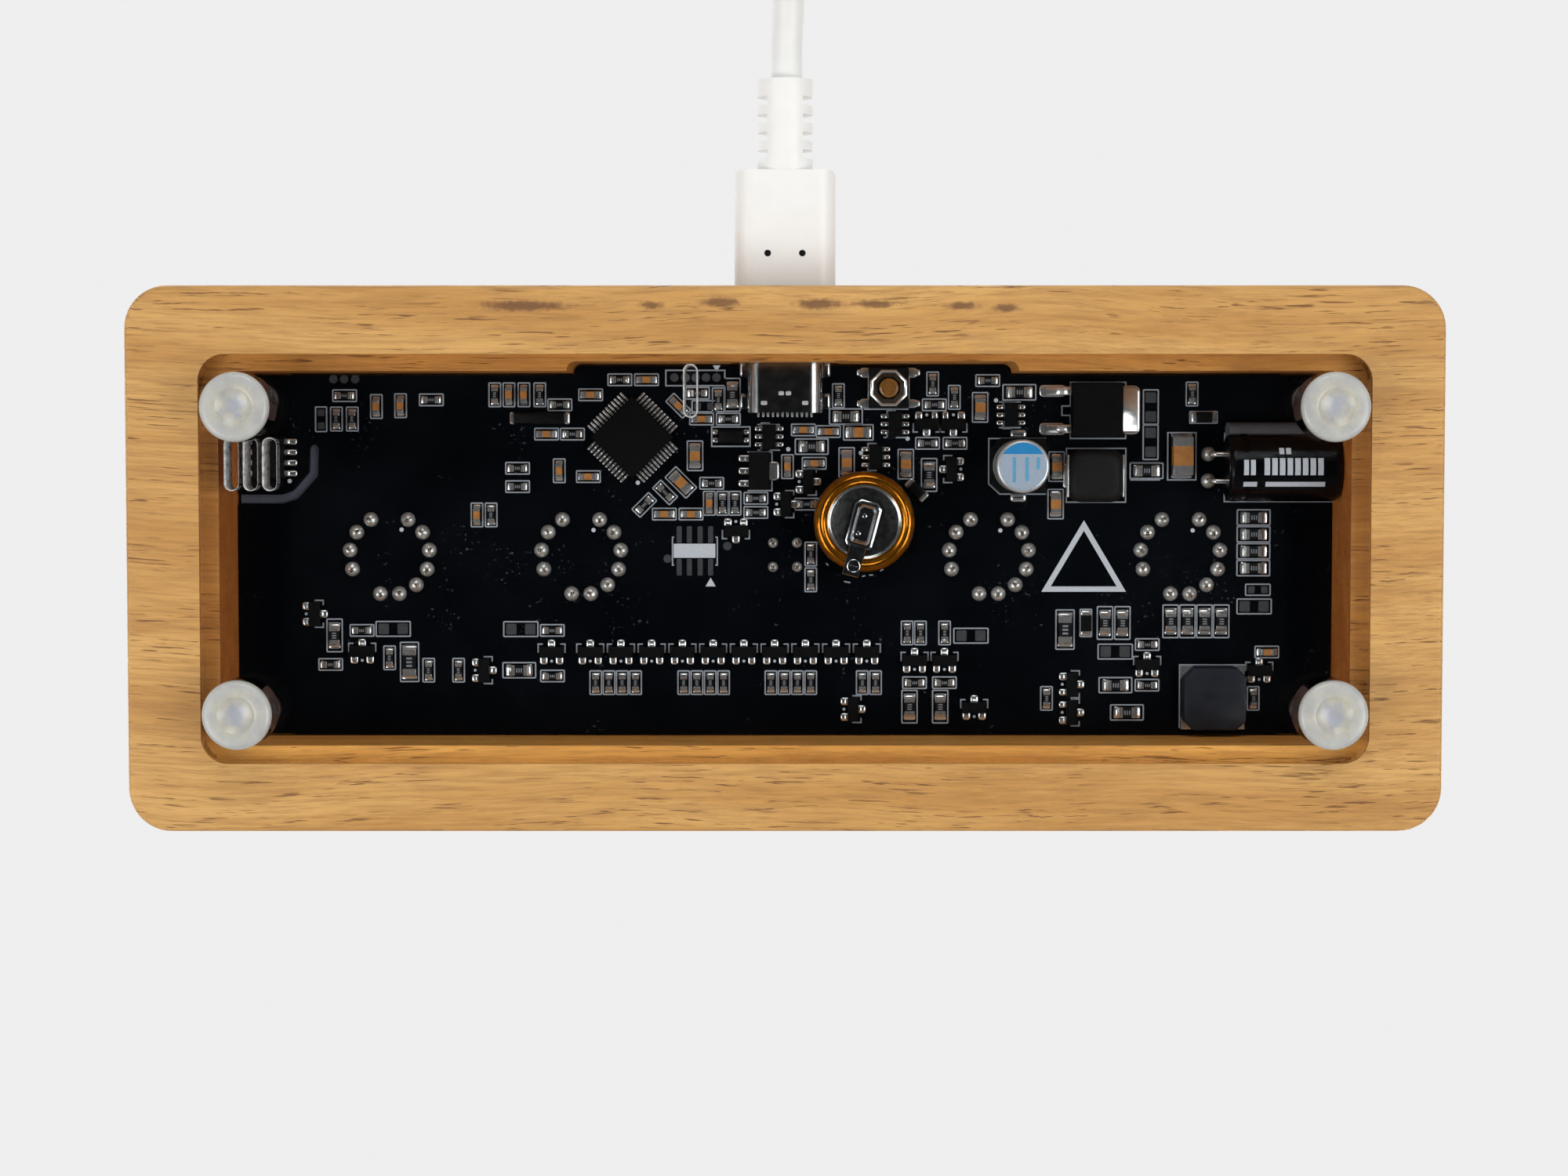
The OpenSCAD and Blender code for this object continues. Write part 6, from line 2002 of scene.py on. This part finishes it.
@dataclass(frozen=True)
class SleevePrint(SubAssembly):
    """Plain printed bars around the underside of the high-voltage capacitor's sleeve."""

    axis_y: float = 10.5
    axis_z: float = 16.9
    radius: float = 4.0
    bar_share: float = 0.72
    proud: float = 0.015
    sunk: float = 0.01
    rows: tuple[tuple[float, float, float, float, int], ...] = (
        (-58.1, 1.6, 24.0, 36.0, 2), (-56.3, 7.2, -12.0, 17.0, 8), (-56.5, 7.0, -33.0, -24.0, 1),
        (-53.9, 1.6, -12.0, 14.0, 2), (-53.9, 1.6, -33.0, -24.0, 1))

    def build(self) -> None:
        """Draws each row as bars of one width: its first X, length, two angles and number of bars."""
        shape = Shape()
        for start, length, low, high, count in self.rows:
            pitch = length / count
            width = pitch * (self.bar_share if count > 1 else 1.0)
            a = np.radians(np.linspace(low, high, 8))
            across = np.column_stack([np.sin(a), -np.cos(a)])
            ring = np.vstack([across * (self.radius + self.proud), across[::-1] * (self.radius - self.sunk)])
            for i in range(count):
                x = start - i * pitch
                ends = [np.column_stack([np.full(len(ring), v), ring]) for v in (x - width, x)]
                shape.loft(np.stack(ends) + [0, self.axis_y, self.axis_z])
        self.finish(shape, "sleeve_print", ["sleeve_print"], "black_sleeve")


@dataclass(frozen=True)
class GripRecessShade(SubAssembly):
    """Two dark discs in the recesses under the plug's grip: painted shade in the recesses."""

    x: float = 2.05
    y: float = 35.88
    z: float = 16.34
    radius: float = 0.38

    def build(self) -> None:
        """Draws the dark discs of painted shade, just inside the recesses."""
        shape = Shape()
        at = np.array([[-self.x, self.y, self.z, 0], [self.x, self.y, self.z, 0]])
        # The black discs are painted shade inside the recesses.
        shape.loft(turned([(self.radius * 0.8, -0.04), (self.radius, 0.0), (self.radius, 0.15)], 24), at=at)
        self.finish(shape, "grip_recess_shade", ["black_plastic"], "white_plastic", body=Body.LEAD)


@dataclass(frozen=True)
class UsbContacts(SubAssembly):
    """The socket's row of soldered pins, and pale marks on its shell that are painted highlights."""

    pin_y: float = 16.9
    pins: int = 12
    pitch: float = 0.58
    shell_z: float = 17.8
    leg_x: float = 5.0
    leg_y: Point = (18.45, 22.3)
    # Places of the shell's painted highlights, as x, y and length.
    marks: tuple[Place, ...] = (
        (0.45, 19.35, 0.65), (-0.4, 19.35, 0.65), (2.5, 18.2, 0.75), (-2.4, 18.2, 0.75))

    def build(self) -> None:
        """Draws the pins and the painted highlights on the shell."""
        pins = Shape()
        at = np.array([[(i - (self.pins - 1) / 2) * self.pitch, self.pin_y, BOARD.z, 0]
                       for i in range(self.pins)])
        pins.hang(pillow(0.3, 0.8, 0.2), at)
        for s in (-1, 1):
            for y in self.leg_y:
                pins.hang(pillow(0.9, 1.9, 0.4, shift=(s * self.leg_x, y)), BOARD.spot())
        self.finish(pins, "socket_pins", ["tinned_lead"], "solder", 60)
        marks = Shape()
        below = BOARD.z - self.shell_z
        ground = BOARD.spot()
        # Pale pads on the shell: painted highlights.
        for x, y, length in self.marks:
            marks.hang(pillow(length, 0.5, 0.12, shift=(x, y)) + [0, 0, below - 0.01], ground)
        self.finish(marks, "shell_glints", ["painted_glint"], "bright_steel", 60)


# -------- the whole clock


def main() -> None:
    """Builds the clock's looks in order."""
    logging.basicConfig(level=logging.INFO, format="%(name)s: %(message)s")
    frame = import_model()
    studio = Studio()
    studio.add_camera()
    paints = Paints(Effects(), {f.name: f for f in FINISHES})
    nodes = frame["nodes"]
    for name, finish in CAD_FINISHES.items():
        paints.dress(nodes[name], finish)
    bench = Bench(paints, nodes)
    groups = (
        CableTie(bench),
        UsbLead(bench),
        TwoTerminal(bench, "chip_resistors", "resistor_chips", "resistor_top", "resistor", marks=3),
        TwoTerminal(bench, "chip_capacitors", "capacitor_chips", "capacitor_body", "capacitor_ceramic",
                    sizes=((1.6, 0.42, 1.4), (2.0, 0.52, 1.7), (3.2, 0.5, 1.7))),
        EndedParts(bench, "diodes", "diode_bodies", "chip_epoxy", boxed_up_to=3.0),
        EndedParts(bench, "crystals", "crystal_bodies", "chip_epoxy", bare_up_to=4.0),
        SolderDomes(bench),
        LeadSolder(bench),
        TrioPrint(bench),
        ResetSwitch(bench),
        MemoryCell(bench),
        FilterCapacitor(bench),
        PowerParts(bench),
        UsbContacts(bench),
        Buzzer(bench),
        TubeAnodes(bench),
        Feet(bench),
        CutEdges(bench),
        SleevePrint(bench),
        GripRecessShade(bench),
        BoardPrint(bench),
    )
    for group in groups:
        group.build()
    studio.build()


if __name__ == "__main__":
    main()
